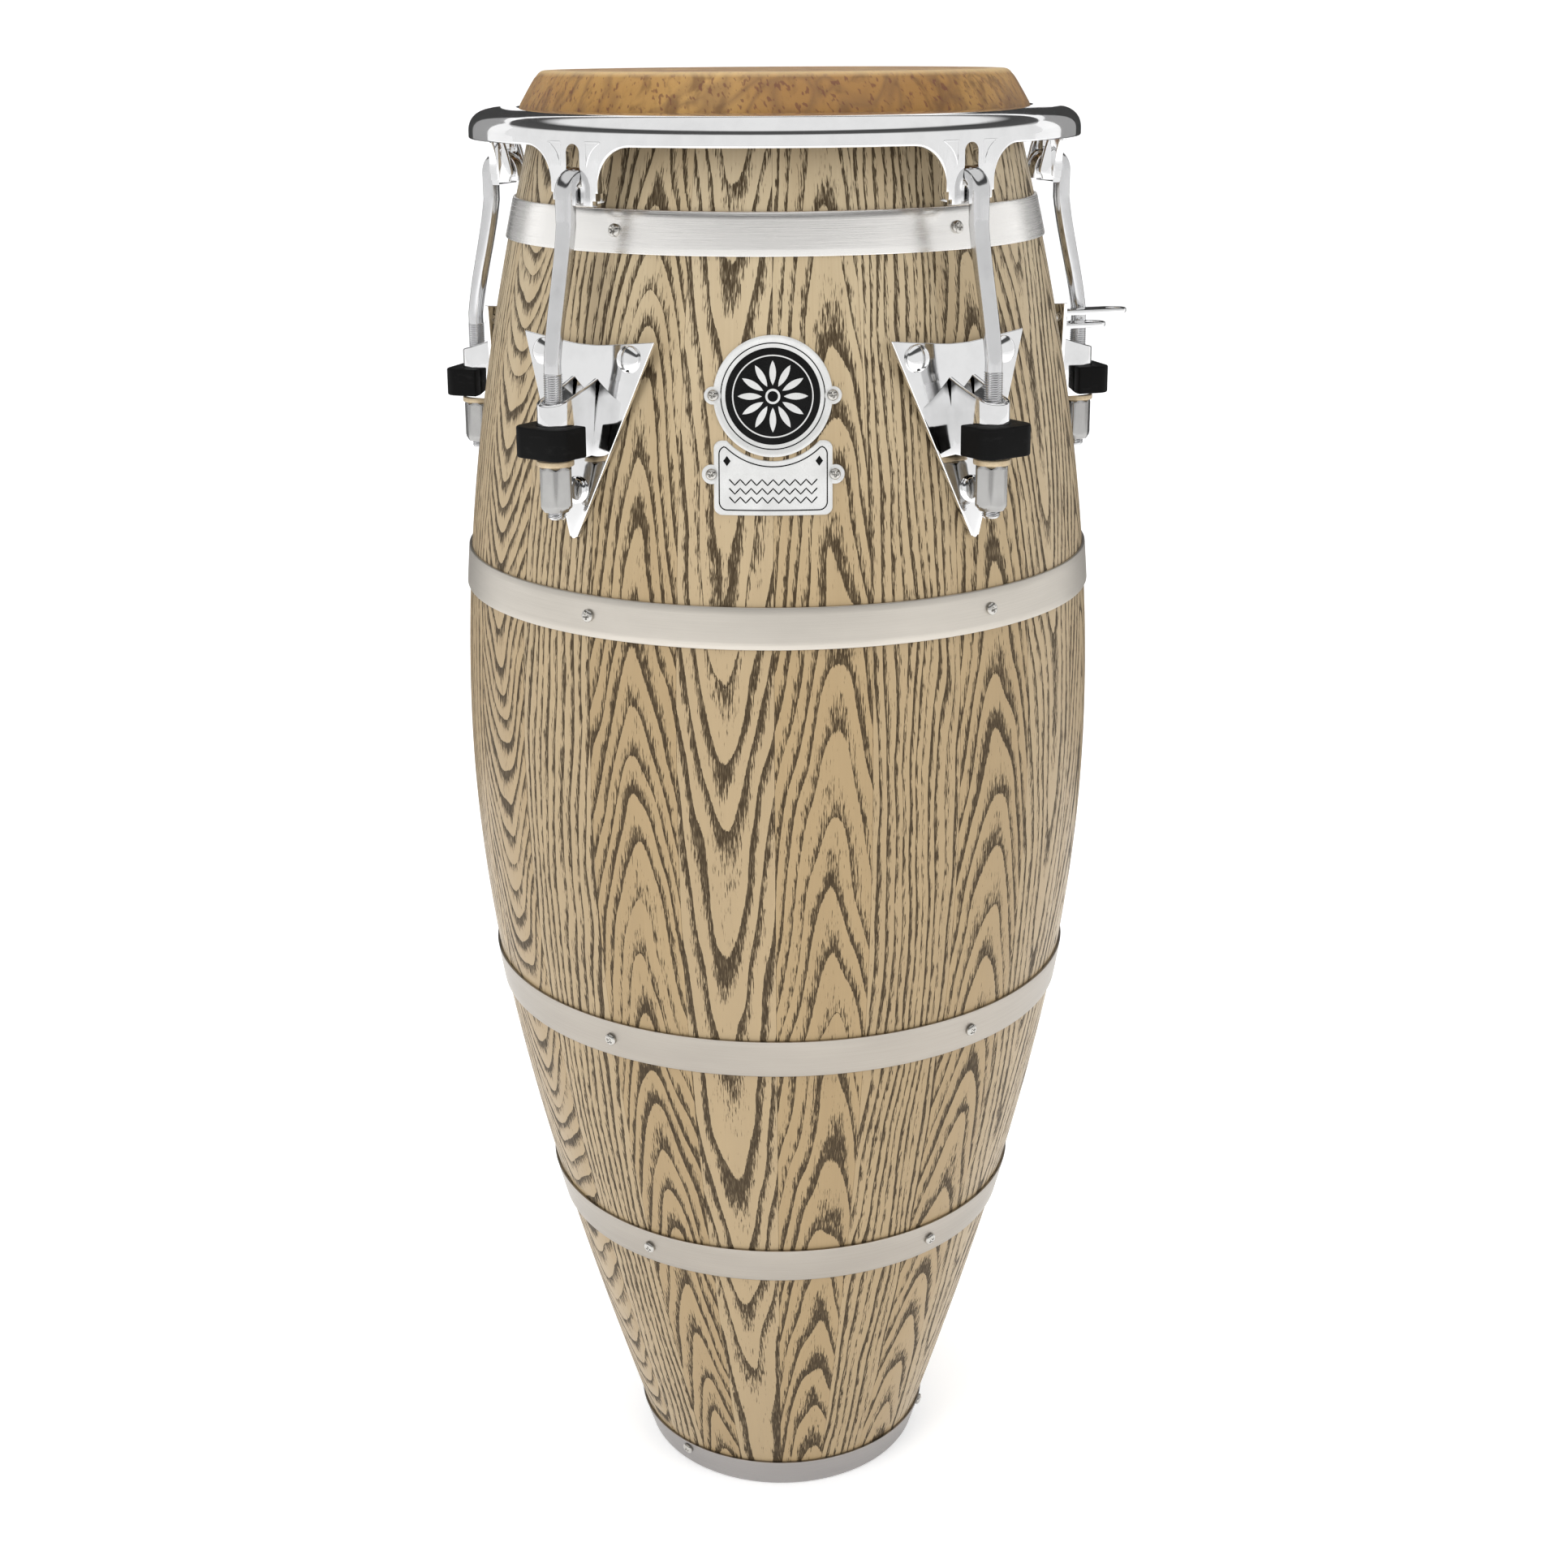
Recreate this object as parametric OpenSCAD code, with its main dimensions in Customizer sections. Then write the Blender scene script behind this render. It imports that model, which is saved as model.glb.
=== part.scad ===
// Stave-built tapered hand drum on a metal foot ring, with a skin head pulled down by a rim,
// five tuning hooks and five nuts under folded side-plate brackets.
// Millimetres, +Z up. The origin is on the drum's axis, on the floor.

/* [Shell] */
// Height of the drum, floor to playing surface
drum_h = 762; // [755:1:769]
// Outer radius of the wood at its widest
belly_r = 163.6; // [161:0.1:166]
// Height of the widest point above the floor
belly_z = 435; // [425:1:445]
// Slope that the lower taper tends to
lower_slope = 0.407; // [0.39:0.001:0.42]
// Distance over which the lower taper bends into the belly
lower_bend = 319; // [300:1:340]
// Slope that the upper taper tends to
upper_slope = 0.475; // [0.46:0.001:0.49]
// Distance over which the upper taper bends into the belly
upper_bend = 480; // [460:5:500]
// Thickness of the wood
wood_t = 11; // [9:0.5:13]
// Number of staves
staves = 22; // [18:1:26]
// Width of the glue seam between two staves, in degrees
seam_angle = 0.05; // [0.04:0.01:0.2]

/* [Bands] */
// Height of each steel band, top edge to bottom edge
band_h = 20; // [16:0.5:24]
// Thickness of the bands and of the foot ring
band_t = 1.4; // [1:0.1:2]
// Middle of the neck band above the floor
neck_z = 691; // [685:1:693]
// Middle of the belly band above the floor
belly_band_z = 514; // [500:1:525]
// Middle of the lower band above the floor
lower_z = 294.5; // [280:0.5:310]
// Middle of the base band above the floor
base_z = 165; // [155:1:175]
// Height of the foot ring
foot_h = 17.5; // [15:0.5:22]
// Width of the foot ring's turned-in lip
foot_lip = 9; // [6:0.5:11]
// Radius of a band screw's head
screw_r = 3.1; // [2.5:0.1:3.5]
// Turn of the band screws away from the lugs, in degrees
screw_turn = 3.3; // [0:0.1:12]

/* [Head] */
// Thickness of the skin
skin_t = 1.4; // [1:0.1:1.6]
// Radius where the flat of the head starts to round over
flat_r = 113.5; // [111:0.5:114]
// Radius of the skin's collar where it disappears under the rim
collar_r = 127.6; // [127:0.1:128]
// Middle radius of the hoop that the skin is tucked round
hoop_r = 132.6; // [132:0.1:133]
// Radius of that hoop's section, tucked skin included
hoop_section_r = 3.5; // [3:0.1:3.6]

/* [Rim] */
// Outer radius of the rim
rim_r = 153.4; // [153:0.1:154]
// Height of the rim's lower edge above the floor
rim_low_z = 729.7; // [729:0.1:730]
// Height of the rim's top edge above the floor
rim_top_z = 744.4; // [744:0.1:745]
// Thickness of the rim's metal
rim_t = 3.8; // [3.6:0.1:4]
// Depth of an ear below the rim's lower edge
ear_drop = 26.7; // [26:0.1:27.5]
// Radius of the arch between an ear and the rim
arch_r = 17; // [16:0.5:18]
// Half the width of an ear at its narrow lower end
ear_half_w = 11; // [10.5:0.1:12]
// Width of an ear's slot
slot_w = 9.6; // [9.2:0.1:10]

/* [Tuning] */
// Width of a hook's forged bar
forged_w = 7.8; // [7.6:0.1:7.9]
// Outer diameter of the thread
thread_d = 8.8; // [8.6:0.1:8.9]
// Radial clearance between thread and nut
thread_gap = 0.05; // [0.03:0.01:0.08]
// Radius from the drum's axis to a hook's upper shank
shank_r = 159; // [158.8:0.1:159.4]
// Radius from the drum's axis to a hook's thread
thread_r = 171; // [170.6:0.1:171.2]
// Middle radius of a hook's bend
bend_r = 7.5; // [7.4:0.1:7.6]
// Width of a tuning nut across its flats
nut_af = 14.6; // [14:0.1:15]
// Height of a tuning nut
nut_h = 21.5; // [18:0.5:22]

/* [Side plates] */
// Half the width of a side plate along its top edge
plate_half_w = 39.5; // [37:0.5:41]
// Height of a side plate's upper corners above the floor
plate_top_z = 643; // [641:0.5:645]
// Height of a side plate's lower tip above the floor
plate_tip_z = 549.5; // [545:0.5:552]
// Thickness of a side plate
plate_t = 2.2; // [1.8:0.1:2.4]
// Outer half width of the folded bracket
bracket_half_w = 8.2; // [8:0.1:8.6]
// Radius from the drum's axis to the bracket's outer face
bracket_r = 178.6; // [178.4:0.1:179.2]
// Height of the bracket's underside above the floor
bracket_low_z = 589; // [588:0.5:590]
// Half the width of a rubber bumper
bumper_half_w = 14.8; // [14:0.1:16]
// Radius from the drum's axis to a bumper's outer face
bumper_r = 185; // [184:0.1:186]
// Height of a bumper
bumper_h = 14.4; // [12:0.1:15]

/* [Badges] */
// Radius of the round badge
badge_r = 27.2; // [24:0.1:28]
// Height of the round badge's middle above the floor
badge_z = 619.5; // [618:0.5:622]
// Thickness of both badges
badge_t = 1; // [0.8:0.1:1.4]

/* [Hidden] */
$fn = 96;
lugs = 5;
lug_pitch = 360 / lugs;
gap = 0.1;

// Places along the height
wood_low_z = 1.6;
wood_top_z = drum_h - skin_t - 0.3;
edge_z = drum_h - 5.5;
collar_z = rim_top_z + 1.8;
hoop_z = rim_top_z - 8.6;
ear_low_z = rim_low_z - ear_drop;
crossbar_z = rim_low_z - 18.1;
bend_z = crossbar_z - 2.6;
hook_low_z = 561;
thread_top_z = 629;
lean_low_z = 634;
lean_high_z = 695;
washer_t = 2.7;
washer_z = bracket_low_z - washer_t;
nut_z = washer_z - nut_h;
bumper_z = bracket_low_z + 1.8;
bolt_z = 634.3;
low_bolt_z = 572.2;
bolt_side = 26;
bolt_head_r = 6.4;
bolt_r = 3.1;
// Each bolt: sideways place, height, and how deep its nut sits behind the plate
bolt_places = [[bolt_side, bolt_z, 17.7], [-bolt_side, bolt_z, 17.7], [0, low_bolt_z, 13.6]];
plate_mid_z = 596;
bumper_back_r = 165.6;
wall = 2.4;

// Outer radius of the wood at height z: straight tapers bent round the belly
function taper(z, slope, bend) = slope * (sqrt(bend * bend + pow(z - belly_z, 2)) - bend);
function shell_r(z) =
    belly_r - (z < belly_z ? taper(z, lower_slope, lower_bend) : taper(z, upper_slope, upper_bend));

// Lean of the wood from the vertical at height z, in degrees
function lean(z) = atan((shell_r(z - 1) - shell_r(z + 1)) / 2);

// Points up the wood, moved out by off
function wall_points(z0, z1, off, n) =
    [for (i = [0:n]) let (z = z0 + (z1 - z0) * i / n) [shell_r(z) + off, z]];

// Direction of lug i: lug 0 is at the front left, and they run anticlockwise from above
function lug_turn(i) = -126 + lug_pitch * i;

module at_lug(i) {
    rotate([0, 0, lug_turn(i)]) children();
}

// A sheet that follows the wood, from off to off + t outside it
module sheet_round(z0, z1, off, t, n = 4, spread = 360) {
    outline = concat(wall_points(z0, z1, off, n), wall_points(z1, z0, off + t, n));
    rotate([0, 0, spread == 360 ? 0 : -spread / 2])
        rotate_extrude(angle = spread, $fn = 192)
            polygon(outline);
}

// A flat outline, across and up, pushed out along +X through the drum's wall
module push_out(length = 190) {
    rotate([90, 0, 90]) linear_extrude(length) children();
}

// A low dome on a rim of height edge, standing on z = 0
module domed_head(r, edge, crown) {
    ball_r = (r * r + crown * crown) / (2 * crown);
    reach = asin(r / ball_r);
    rotate_extrude($fn = 48)
        polygon(concat(
            [[0, 0], [r, 0]],
            [for (k = [0:6]) let (a = reach * (1 - k / 6))
                [ball_r * sin(a), edge + crown - ball_r * (1 - cos(a))]]
        ));
}

// ---------- wooden shell ----------

module stave_outline() {
    inner_top = wood_top_z - 7;
    polygon(concat(
        wall_points(wood_low_z, edge_z, 0, 36),
        [[shell_r(edge_z) - 0.6, wood_top_z - 1.4], [shell_r(edge_z) - 2.2, wood_top_z - 0.6]],
        [[shell_r(edge_z) - 4, wood_top_z], [shell_r(edge_z) - 7, wood_top_z]],
        wall_points(inner_top, wood_low_z, -wood_t, 34)
    ));
}

module shell_staves() {
    step = 360 / staves;
    color("burlywood")
        for (i = [0:staves - 1])
            rotate([0, 0, i * step - 90 + seam_angle / 2])
                rotate_extrude(angle = step - seam_angle, $fn = 192) stave_outline();
}

// ---------- head ----------

module head_skin() {
    crown_r = 119.6;
    crown_z = drum_h - 2.6;
    slope = (collar_r - crown_r) / (crown_z - collar_z);
    color("peru")
        rotate_extrude($fn = 192)
            polygon([
                [0, drum_h], [flat_r, drum_h], [flat_r + 2.4, drum_h - 0.4],
                [flat_r + 4.6, drum_h - 1.2], [crown_r, crown_z],
                [crown_r + 1.4, crown_z - 2.5], [collar_r, collar_z],
                [collar_r - skin_t, collar_z - skin_t * slope],
                [crown_r + 1.4 - skin_t, crown_z - 2.5 - skin_t * slope],
                [crown_r - 1.5, crown_z - 1.1], [flat_r + 2.6, drum_h - 1 - skin_t],
                [flat_r - 0.6, drum_h - skin_t], [0, drum_h - skin_t]
            ]);
}

module flesh_hoop() {
    color("tan")
        rotate_extrude($fn = 192)
            translate([hoop_r, hoop_z]) circle(r = hoop_section_r, $fn = 32);
}

// ---------- rim ----------

// Curved top that turns down into an upright skirt as deep as the ears
module rim_outline() {
    face_z = rim_low_z + 3.6;
    polygon([
        [130, rim_top_z], [139, rim_top_z - 0.5], [144.5, rim_top_z - 1.6],
        [148.6, rim_top_z - 3.6], [150.9, rim_top_z - 6.2], [152.4, rim_top_z - 8.8],
        [rim_r, face_z], [rim_r, ear_low_z], [rim_r - rim_t, ear_low_z],
        [rim_r - rim_t, face_z], [148.4, rim_top_z - 8.9], [146.4, rim_top_z - 6.4],
        [143, rim_top_z - 5], [138, rim_top_z - 4.3], [130, rim_top_z - 4],
        [129.4, rim_top_z - 2]
    ]);
}

// What is cut away beside an ear: an arched shoulder, then small steps down to the foot
module beside_ear(side) {
    reach = 50;
    arch_z = rim_low_z - arch_r;
    shoulder = ear_half_w + 3 + arch_r;
    scale_side = side < 0 ? -reach : 0;
    translate([side * shoulder, arch_z]) circle(r = arch_r);
    for (step = [[3, arch_z], [1.8, ear_low_z + 6], [0, ear_low_z + 2.5]])
        translate([scale_side + side * (ear_half_w + step[0]), ear_low_z - 1])
            square([reach, step[1] - ear_low_z + 1]);
    translate([scale_side + side * shoulder, ear_low_z - 1])
        square([reach, rim_low_z - ear_low_z + 1]);
}

// Slot with a round top, standing on the ear's crossbar
module slot_outline() {
    top_z = rim_low_z + 1.2;
    translate([0, top_z - slot_w / 2]) circle(d = slot_w);
    translate([-slot_w / 2, crossbar_z]) square([slot_w, top_z - slot_w / 2 - crossbar_z]);
}

// Cheeks on both sides of the slot, which make a pocket for the hook's tip
module ear_cheeks() {
    for (side = [-1, 1])
        translate([0, side * (ear_half_w - 2), 0])
            rotate([90, 0, 0])
                linear_extrude(2.8, center = true)
                    polygon([
                        [rim_r - 1.5, ear_low_z + 0.8], [rim_r - 10.5, ear_low_z + 2],
                        [rim_r - 11.5, ear_low_z + 9], [rim_r - rim_t - 1, rim_low_z + 1],
                        [rim_r - 1.5, rim_low_z + 1]
                    ]);
}

module rim() {
    open_start = 16;
    color("gainsboro")
        difference() {
            union() {
                rotate_extrude($fn = 192) rim_outline();
                for (i = [0:lugs - 1])
                    at_lug(i) ear_cheeks();
            }
            for (i = [0:lugs - 1])
                at_lug(i) {
                    for (side = [-1, 1])
                        translate([rim_r - 30, 0, 0]) push_out(40) beside_ear(side);
                    translate([rim_r - 14, 0, 0]) push_out(20) slot_outline();
                    rotate([0, 0, open_start])
                        rotate_extrude(angle = lug_pitch - 2 * open_start, $fn = 192)
                            translate([rim_r - 20, ear_low_z - 1])
                                square([30, rim_low_z - ear_low_z + 1]);
                }
        }
}

// ---------- tuning hooks, nuts and washers ----------

// Upright round bar, r out from the axis, between two heights
module upright(r, low_z, high_z, d) {
    translate([r, 0, low_z]) cylinder(d = d, h = high_z - low_z, $fn = 48);
}

// Side view of the forged bar: tip, bend, upright, and a lean out towards the thread
module forged_outline() {
    half = forged_w / 2;
    tip_r = shank_r - 2 * bend_r;
    translate([shank_r - bend_r, bend_z])
        difference() {
            circle(r = bend_r + half);
            circle(r = bend_r - half);
            translate([-20, -40]) square([40, 40]);
        }
    translate([tip_r - half, bend_z - 4]) square([forged_w, 4]);
    polygon([
        [shank_r - half, bend_z], [shank_r + half, bend_z],
        [shank_r + half, lean_high_z], [thread_r + half, lean_low_z],
        [thread_r + half, thread_top_z + 3], [thread_r - half, thread_top_z + 3],
        [thread_r - half, lean_low_z], [shank_r - half, lean_high_z]
    ]);
}

module tuning_hook(i) {
    color("silver")
        at_lug(i) {
            rotate([90, 0, 0]) linear_extrude(forged_w, center = true) forged_outline();
            upright(thread_r, hook_low_z, thread_top_z + 5, thread_d);
        }
}

module tuning_nut(i) {
    corner_r = nut_af / sqrt(3);
    ease = 1.6;
    color("lightgray")
        at_lug(i)
            translate([thread_r, 0, nut_z])
                difference() {
                    intersection() {
                        rotate([0, 0, 12]) cylinder(r = corner_r, h = nut_h, $fn = 6);
                        rotate_extrude()
                            polygon([
                                [0, 0], [corner_r - 2.2, 0], [corner_r - 0.1, 2 * ease],
                                [corner_r, nut_h - ease], [corner_r - 1.1, nut_h], [0, nut_h]
                            ]);
                    }
                    translate([0, 0, -1])
                        cylinder(d = thread_d + 2 * thread_gap, h = nut_h + 2);
                }
}

module nut_washers() {
    color("tan")
        for (i = [0:lugs - 1])
            at_lug(i)
                translate([thread_r, 0, washer_z])
                    difference() {
                        cylinder(r = 8.7, h = washer_t);
                        translate([0, 0, -1]) cylinder(d = thread_d + 0.8, h = washer_t + 2);
                    }
}

// ---------- side plates ----------

// Moves into the plate's own frame: +X out of the plate, +Z up along it, the wood at x = 0
module on_plate() {
    translate([shell_r(plate_mid_z), 0, plate_mid_z])
        rotate([0, -lean(plate_mid_z), 0]) children();
}

// Distance along the plate from its middle to height z
function along_plate(z) = (z - plate_mid_z) / cos(lean(plate_mid_z));

// Three-cornered outline with a shallow notch in its top edge
module plate_outline() {
    tip = along_plate(plate_tip_z);
    top = along_plate(plate_top_z);
    polygon([
        [-plate_half_w, top], [-2.4, tip + 0.8], [-1.2, tip], [1.2, tip], [2.4, tip + 0.8],
        [plate_half_w, top], [6, top - 3.7], [-6, top - 3.7]
    ]);
}

// Outline seen from above: straight sides from back to a rounded front
module rounded_front(back, front, half_w, corner) {
    translate([back, -half_w]) square([front - corner - back, 2 * half_w]);
    translate([back, corner - half_w]) square([front - back, 2 * (half_w - corner) + 0.01]);
    for (side = [-1, 1])
        translate([front - corner, side * (half_w - corner)]) circle(r = corner);
}

// Bent strap, open to the plate: two cheeks, a round front and a drilled floor
module bracket() {
    back = shell_r(plate_mid_z) - 10;
    inner_half_w = bracket_half_w - wall;
    difference() {
        translate([0, 0, bracket_low_z])
            linear_extrude(40) rounded_front(back, bracket_r, bracket_half_w, bracket_half_w);
        translate([0, 0, bracket_low_z + wall])
            linear_extrude(50)
                rounded_front(back - 1, bracket_r - wall, inner_half_w, inner_half_w);
        translate([thread_r, 0, bracket_low_z - 1]) cylinder(d = thread_d + 0.8, h = wall + 2);
        translate([bracket_r + 1, 0, bracket_low_z + 25.5])
            rotate([0, 18, 0])
                translate([-60, -20, 0]) cube([80, 40, 40]);
        on_plate()
            translate([gap + plate_t / 2 - 60, -30, -60]) cube([60, 60, 120]);
    }
}

module bolt_holes() {
    for (place = bolt_places)
        on_plate()
            translate([-30, place[0], along_plate(place[1])])
                rotate([0, 90, 0]) cylinder(r = bolt_r + 0.2, h = 40, $fn = 32);
}

module side_plate(i) {
    color("whitesmoke")
        at_lug(i) {
            difference() {
                on_plate() translate([gap, 0, 0]) push_out(plate_t) plate_outline();
                bolt_holes();
            }
            bracket();
        }
}

// Steel plate inside the shell that spreads the load of three bolts
module backing_plate(i) {
    depth = wood_t + 2 * gap + 1.8;
    color("dimgray")
        at_lug(i)
            difference() {
                intersection() {
                    sheet_round(low_bolt_z - 16, bolt_z + 14, -depth, 1.8, 4, 40);
                    push_out()
                        polygon([
                            [-34, bolt_z + 9], [-34, bolt_z - 8], [-7, low_bolt_z - 10],
                            [7, low_bolt_z - 10], [34, bolt_z - 8], [34, bolt_z + 9]
                        ]);
                }
                bolt_holes();
            }
}

// Rubber block that fits round the bracket and keeps the metal off a neighbouring drum
module bumper(i) {
    pocket = bracket_half_w + gap;
    color([0.12, 0.12, 0.12])
        at_lug(i)
            translate([0, 0, bumper_z])
                linear_extrude(bumper_h)
                    difference() {
                        rounded_front(bumper_back_r, bumper_r, bumper_half_w, 7);
                        rounded_front(bumper_back_r - 1, bracket_r + gap, pocket, pocket);
                    }
}

// Carriage bolts: domed heads outside, shanks through plate, wood and backing plate
module side_plate_bolts() {
    color("white")
        for (i = [0:lugs - 1])
            at_lug(i)
                for (place = bolt_places)
                    on_plate()
                        translate([0, place[0], along_plate(place[1])])
                            rotate([0, 90, 0]) {
                                translate([0, 0, plate_t + 2 * gap])
                                    domed_head(bolt_head_r, 0.8, 2.6);
                                translate([0, 0, -place[2] - 7])
                                    cylinder(r = bolt_r, h = place[2] + 7.5 + plate_t, $fn = 32);
                            }
}

module side_plate_nuts() {
    color("gray")
        for (i = [0:lugs - 1])
            at_lug(i)
                for (place = bolt_places)
                    on_plate()
                        translate([0, place[0], along_plate(place[1])])
                            rotate([0, 90, 0])
                                translate([0, 0, -place[2] - 5])
                                    difference() {
                                        cylinder(r = 5.8, h = 5, $fn = 6);
                                        translate([0, 0, -1])
                                            cylinder(r = bolt_r + 0.05, h = 7, $fn = 32);
                                    }
}

// Two drilled tongues of different lengths on one foot, for keeping the tuning wrench
module tongue(z, across, reach, start) {
    half_w = 7;
    translate([0, across, z])
        linear_extrude(2.4)
            difference() {
                union() {
                    translate([start, -half_w]) square([reach - half_w - start, 2 * half_w]);
                    translate([reach - half_w, 0]) circle(r = half_w);
                }
                translate([reach - half_w, 0]) circle(r = 3.9);
            }
}

module wrench_hanger() {
    across = -12.2;
    low_z = 627;
    high_z = 634;
    start = shell_r(low_z) + plate_t + 0.6;
    color("silver")
        at_lug(2) {
            tongue(high_z, across, 192.5, start);
            tongue(low_z, across, 180.5, start);
            translate([start - 1.4, across - 7, low_z - 2])
                cube([3, 14, high_z - low_z + 4.4]);
        }
}

// ---------- bands and foot ring ----------

module band(z) {
    color("lightgray") sheet_round(z - band_h / 2, z + band_h / 2, gap, band_t);
}

module neck_band() {
    band(neck_z);
}

module belly_band() {
    band(belly_band_z);
}

module lower_band() {
    band(lower_z);
}

module base_band() {
    band(base_z);
}

module foot_ring() {
    lip_t = 1.4;
    color("darkgray") {
        sheet_round(0, foot_h, gap, band_t);
        rotate_extrude($fn = 192)
            translate([shell_r(0) - foot_lip, 0]) square([foot_lip + 0.8, lip_t]);
    }
}

// ---------- screws ----------

// Pan-head wood screw driven square to the wood at height z
module wall_screw(z, head_r, stand, length) {
    translate([shell_r(z), 0, z])
        rotate([0, 90 - lean(z), 0]) {
            translate([0, 0, stand]) domed_head(head_r, 0.7, 1.5);
            translate([0, 0, stand - length]) cylinder(r = 1.4, h = length + 0.4, $fn = 24);
        }
}

module band_screws(z, turns) {
    color("silver")
        for (turn = turns)
            rotate([0, 0, turn - 90]) wall_screw(z, screw_r, band_t + 0.2, 9);
}

five_turns = [for (i = [0:lugs - 1]) screw_turn + lug_turn(i) + 90];

module neck_screws() {
    band_screws(neck_z, five_turns);
}

module belly_screws() {
    band_screws(belly_band_z, five_turns);
}

module lower_screws() {
    band_screws(lower_z, five_turns);
}

module base_screws() {
    band_screws(base_z, five_turns);
}

module foot_screws() {
    band_screws(foot_h - 4.2, [-40.5, 79.5, 199.5]);
}

// ---------- badges ----------

badge_low_z = 566;
badge_ear_z = 584.2;
ear_angle = 10.5;

module badge_sheet() {
    rotate([0, 0, -90])
        intersection() {
            sheet_round(badge_low_z - 8, badge_z + badge_r + 8, gap, badge_t, 8, 40);
            push_out() children();
        }
}

module round_badge() {
    color("gainsboro")
        badge_sheet()
            translate([0, badge_z]) {
                circle(r = badge_r);
                for (side = [-1, 1])
                    translate([side * (badge_r + 0.2), 0]) circle(r = 4, $fn = 48);
            }
}

// Rounded plate hollowed along its top, so that it nests under the round badge
module lower_badge() {
    half_w = 27;
    top_z = 599.5;
    corner = 3.5;
    color("gainsboro")
        badge_sheet() {
            difference() {
                union() {
                    translate([-half_w, badge_low_z + corner])
                        square([2 * half_w, top_z - badge_low_z - 2 * corner]);
                    translate([corner - half_w, badge_low_z])
                        square([2 * (half_w - corner), top_z - badge_low_z]);
                    for (side = [-1, 1], z = [badge_low_z + corner, top_z - corner])
                        translate([side * (half_w - corner), z]) circle(r = corner, $fn = 48);
                }
                translate([0, badge_z]) circle(r = badge_r + 1.8);
            }
            for (side = [-1, 1])
                translate([side * (half_w + 1.2), badge_ear_z]) circle(r = 4.4, $fn = 48);
        }
}

module badge_screws() {
    color("silver")
        for (side = [-1, 1]) {
            rotate([0, 0, side * ear_angle - 90]) wall_screw(badge_z, 2.6, badge_t + 0.2, 7);
            rotate([0, 0, side * ear_angle - 90]) wall_screw(badge_ear_z, 2.6, badge_t + 0.2, 7);
        }
}

// ---------- drawing ----------

shell_staves();
head_skin();
flesh_hoop();
rim();
for (i = [1:lugs]) {
    tuning_hook(i - 1);
    tuning_nut(i - 1);
    side_plate(i - 1);
    backing_plate(i - 1);
    bumper(i - 1);
}
nut_washers();
side_plate_bolts();
side_plate_nuts();
wrench_hanger();
neck_band();
belly_band();
lower_band();
base_band();
foot_ring();
neck_screws();
belly_screws();
lower_screws();
base_screws();
foot_screws();
round_badge();
lower_badge();
badge_screws();
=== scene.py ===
"""Looks of a stave-built conga drum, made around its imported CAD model.

Lengths in the builders are millimetres in the drum's own frame: z is up from the floor, and a
lug's own x runs outwards from the drum's axis. make() turns them into Blender's metres.
"""

import math

import bmesh
import bpy
import numpy as np
from mathutils import Matrix, Vector


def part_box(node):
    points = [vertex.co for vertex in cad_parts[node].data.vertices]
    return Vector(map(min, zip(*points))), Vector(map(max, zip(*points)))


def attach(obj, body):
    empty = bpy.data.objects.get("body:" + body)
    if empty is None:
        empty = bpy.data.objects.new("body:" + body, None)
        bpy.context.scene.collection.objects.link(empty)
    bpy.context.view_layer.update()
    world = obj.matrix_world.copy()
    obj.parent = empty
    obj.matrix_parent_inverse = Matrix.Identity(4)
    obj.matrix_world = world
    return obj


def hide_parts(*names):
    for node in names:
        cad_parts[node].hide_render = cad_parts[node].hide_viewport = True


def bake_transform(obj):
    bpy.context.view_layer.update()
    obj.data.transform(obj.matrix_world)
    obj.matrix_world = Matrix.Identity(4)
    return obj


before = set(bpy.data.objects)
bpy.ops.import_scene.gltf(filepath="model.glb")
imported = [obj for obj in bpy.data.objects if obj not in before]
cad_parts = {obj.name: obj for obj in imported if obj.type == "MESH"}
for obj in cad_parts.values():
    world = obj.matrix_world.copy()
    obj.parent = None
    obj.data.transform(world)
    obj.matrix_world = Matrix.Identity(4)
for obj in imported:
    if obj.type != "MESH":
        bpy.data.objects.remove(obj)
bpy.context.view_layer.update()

MM = 0.001
TURN = 2 * math.pi
RNG = np.random.default_rng(7)


def heights(node):
    """Lowest and highest z of a CAD node."""
    return [corner[2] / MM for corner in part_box(node)]


# ---- sizes, from the frame where it holds them

DRUM_H = heights("head_skin")[1]
RIM_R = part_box("rim")[1][0] / MM
EAR_LOW = heights("rim")[0]
WOOD_LOW, WOOD_TOP = heights("shell_staves")
BELLY_Z = 435.0
LOWER_TAPER = (0.407, 319.0)
UPPER_TAPER = (0.475, 480.0)
BELLY_R = 163.6
WOOD_T = 11.0
STAVES = 22
LUGS = 5
SHANK_R = 159.0
THREAD_R = 171.0
THREAD_OUT = 4.4
THREAD_PITCH = 1.058
BEND_R = 7.5
RIM_T = 3.8
RIM_LOW = EAR_LOW + 26.7
ARCH_R = 17.0
EAR_HALF = 11.0
CROSSBAR = RIM_LOW - 18.1
BEND_Z = CROSSBAR - 2.6
PLATE_T = 2.2
BRACKET_LOW = heights("bumper_1")[0] - 1.8
BRACKET_R = 178.6
BRACKET_HALF = 8.2
BRACKET_T = 2.4
PLATE_MID = 596.0
BOLTS = [(26.0, 634.3), (-26.0, 634.3), (0.0, 572.2)]
SKIN_T = 1.4


def wall_r(z):
    """Outer radius of the wood at height z: straight tapers bent round the belly."""
    z = np.asarray(z, float)
    slope = np.where(z < BELLY_Z, LOWER_TAPER[0], UPPER_TAPER[0])
    bend = np.where(z < BELLY_Z, LOWER_TAPER[1], UPPER_TAPER[1])
    return BELLY_R - slope * (np.sqrt(bend ** 2 + (z - BELLY_Z) ** 2) - bend)


def wall_lean(z):
    return math.atan2(wall_r(z - 1) - wall_r(z + 1), 2)


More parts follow.
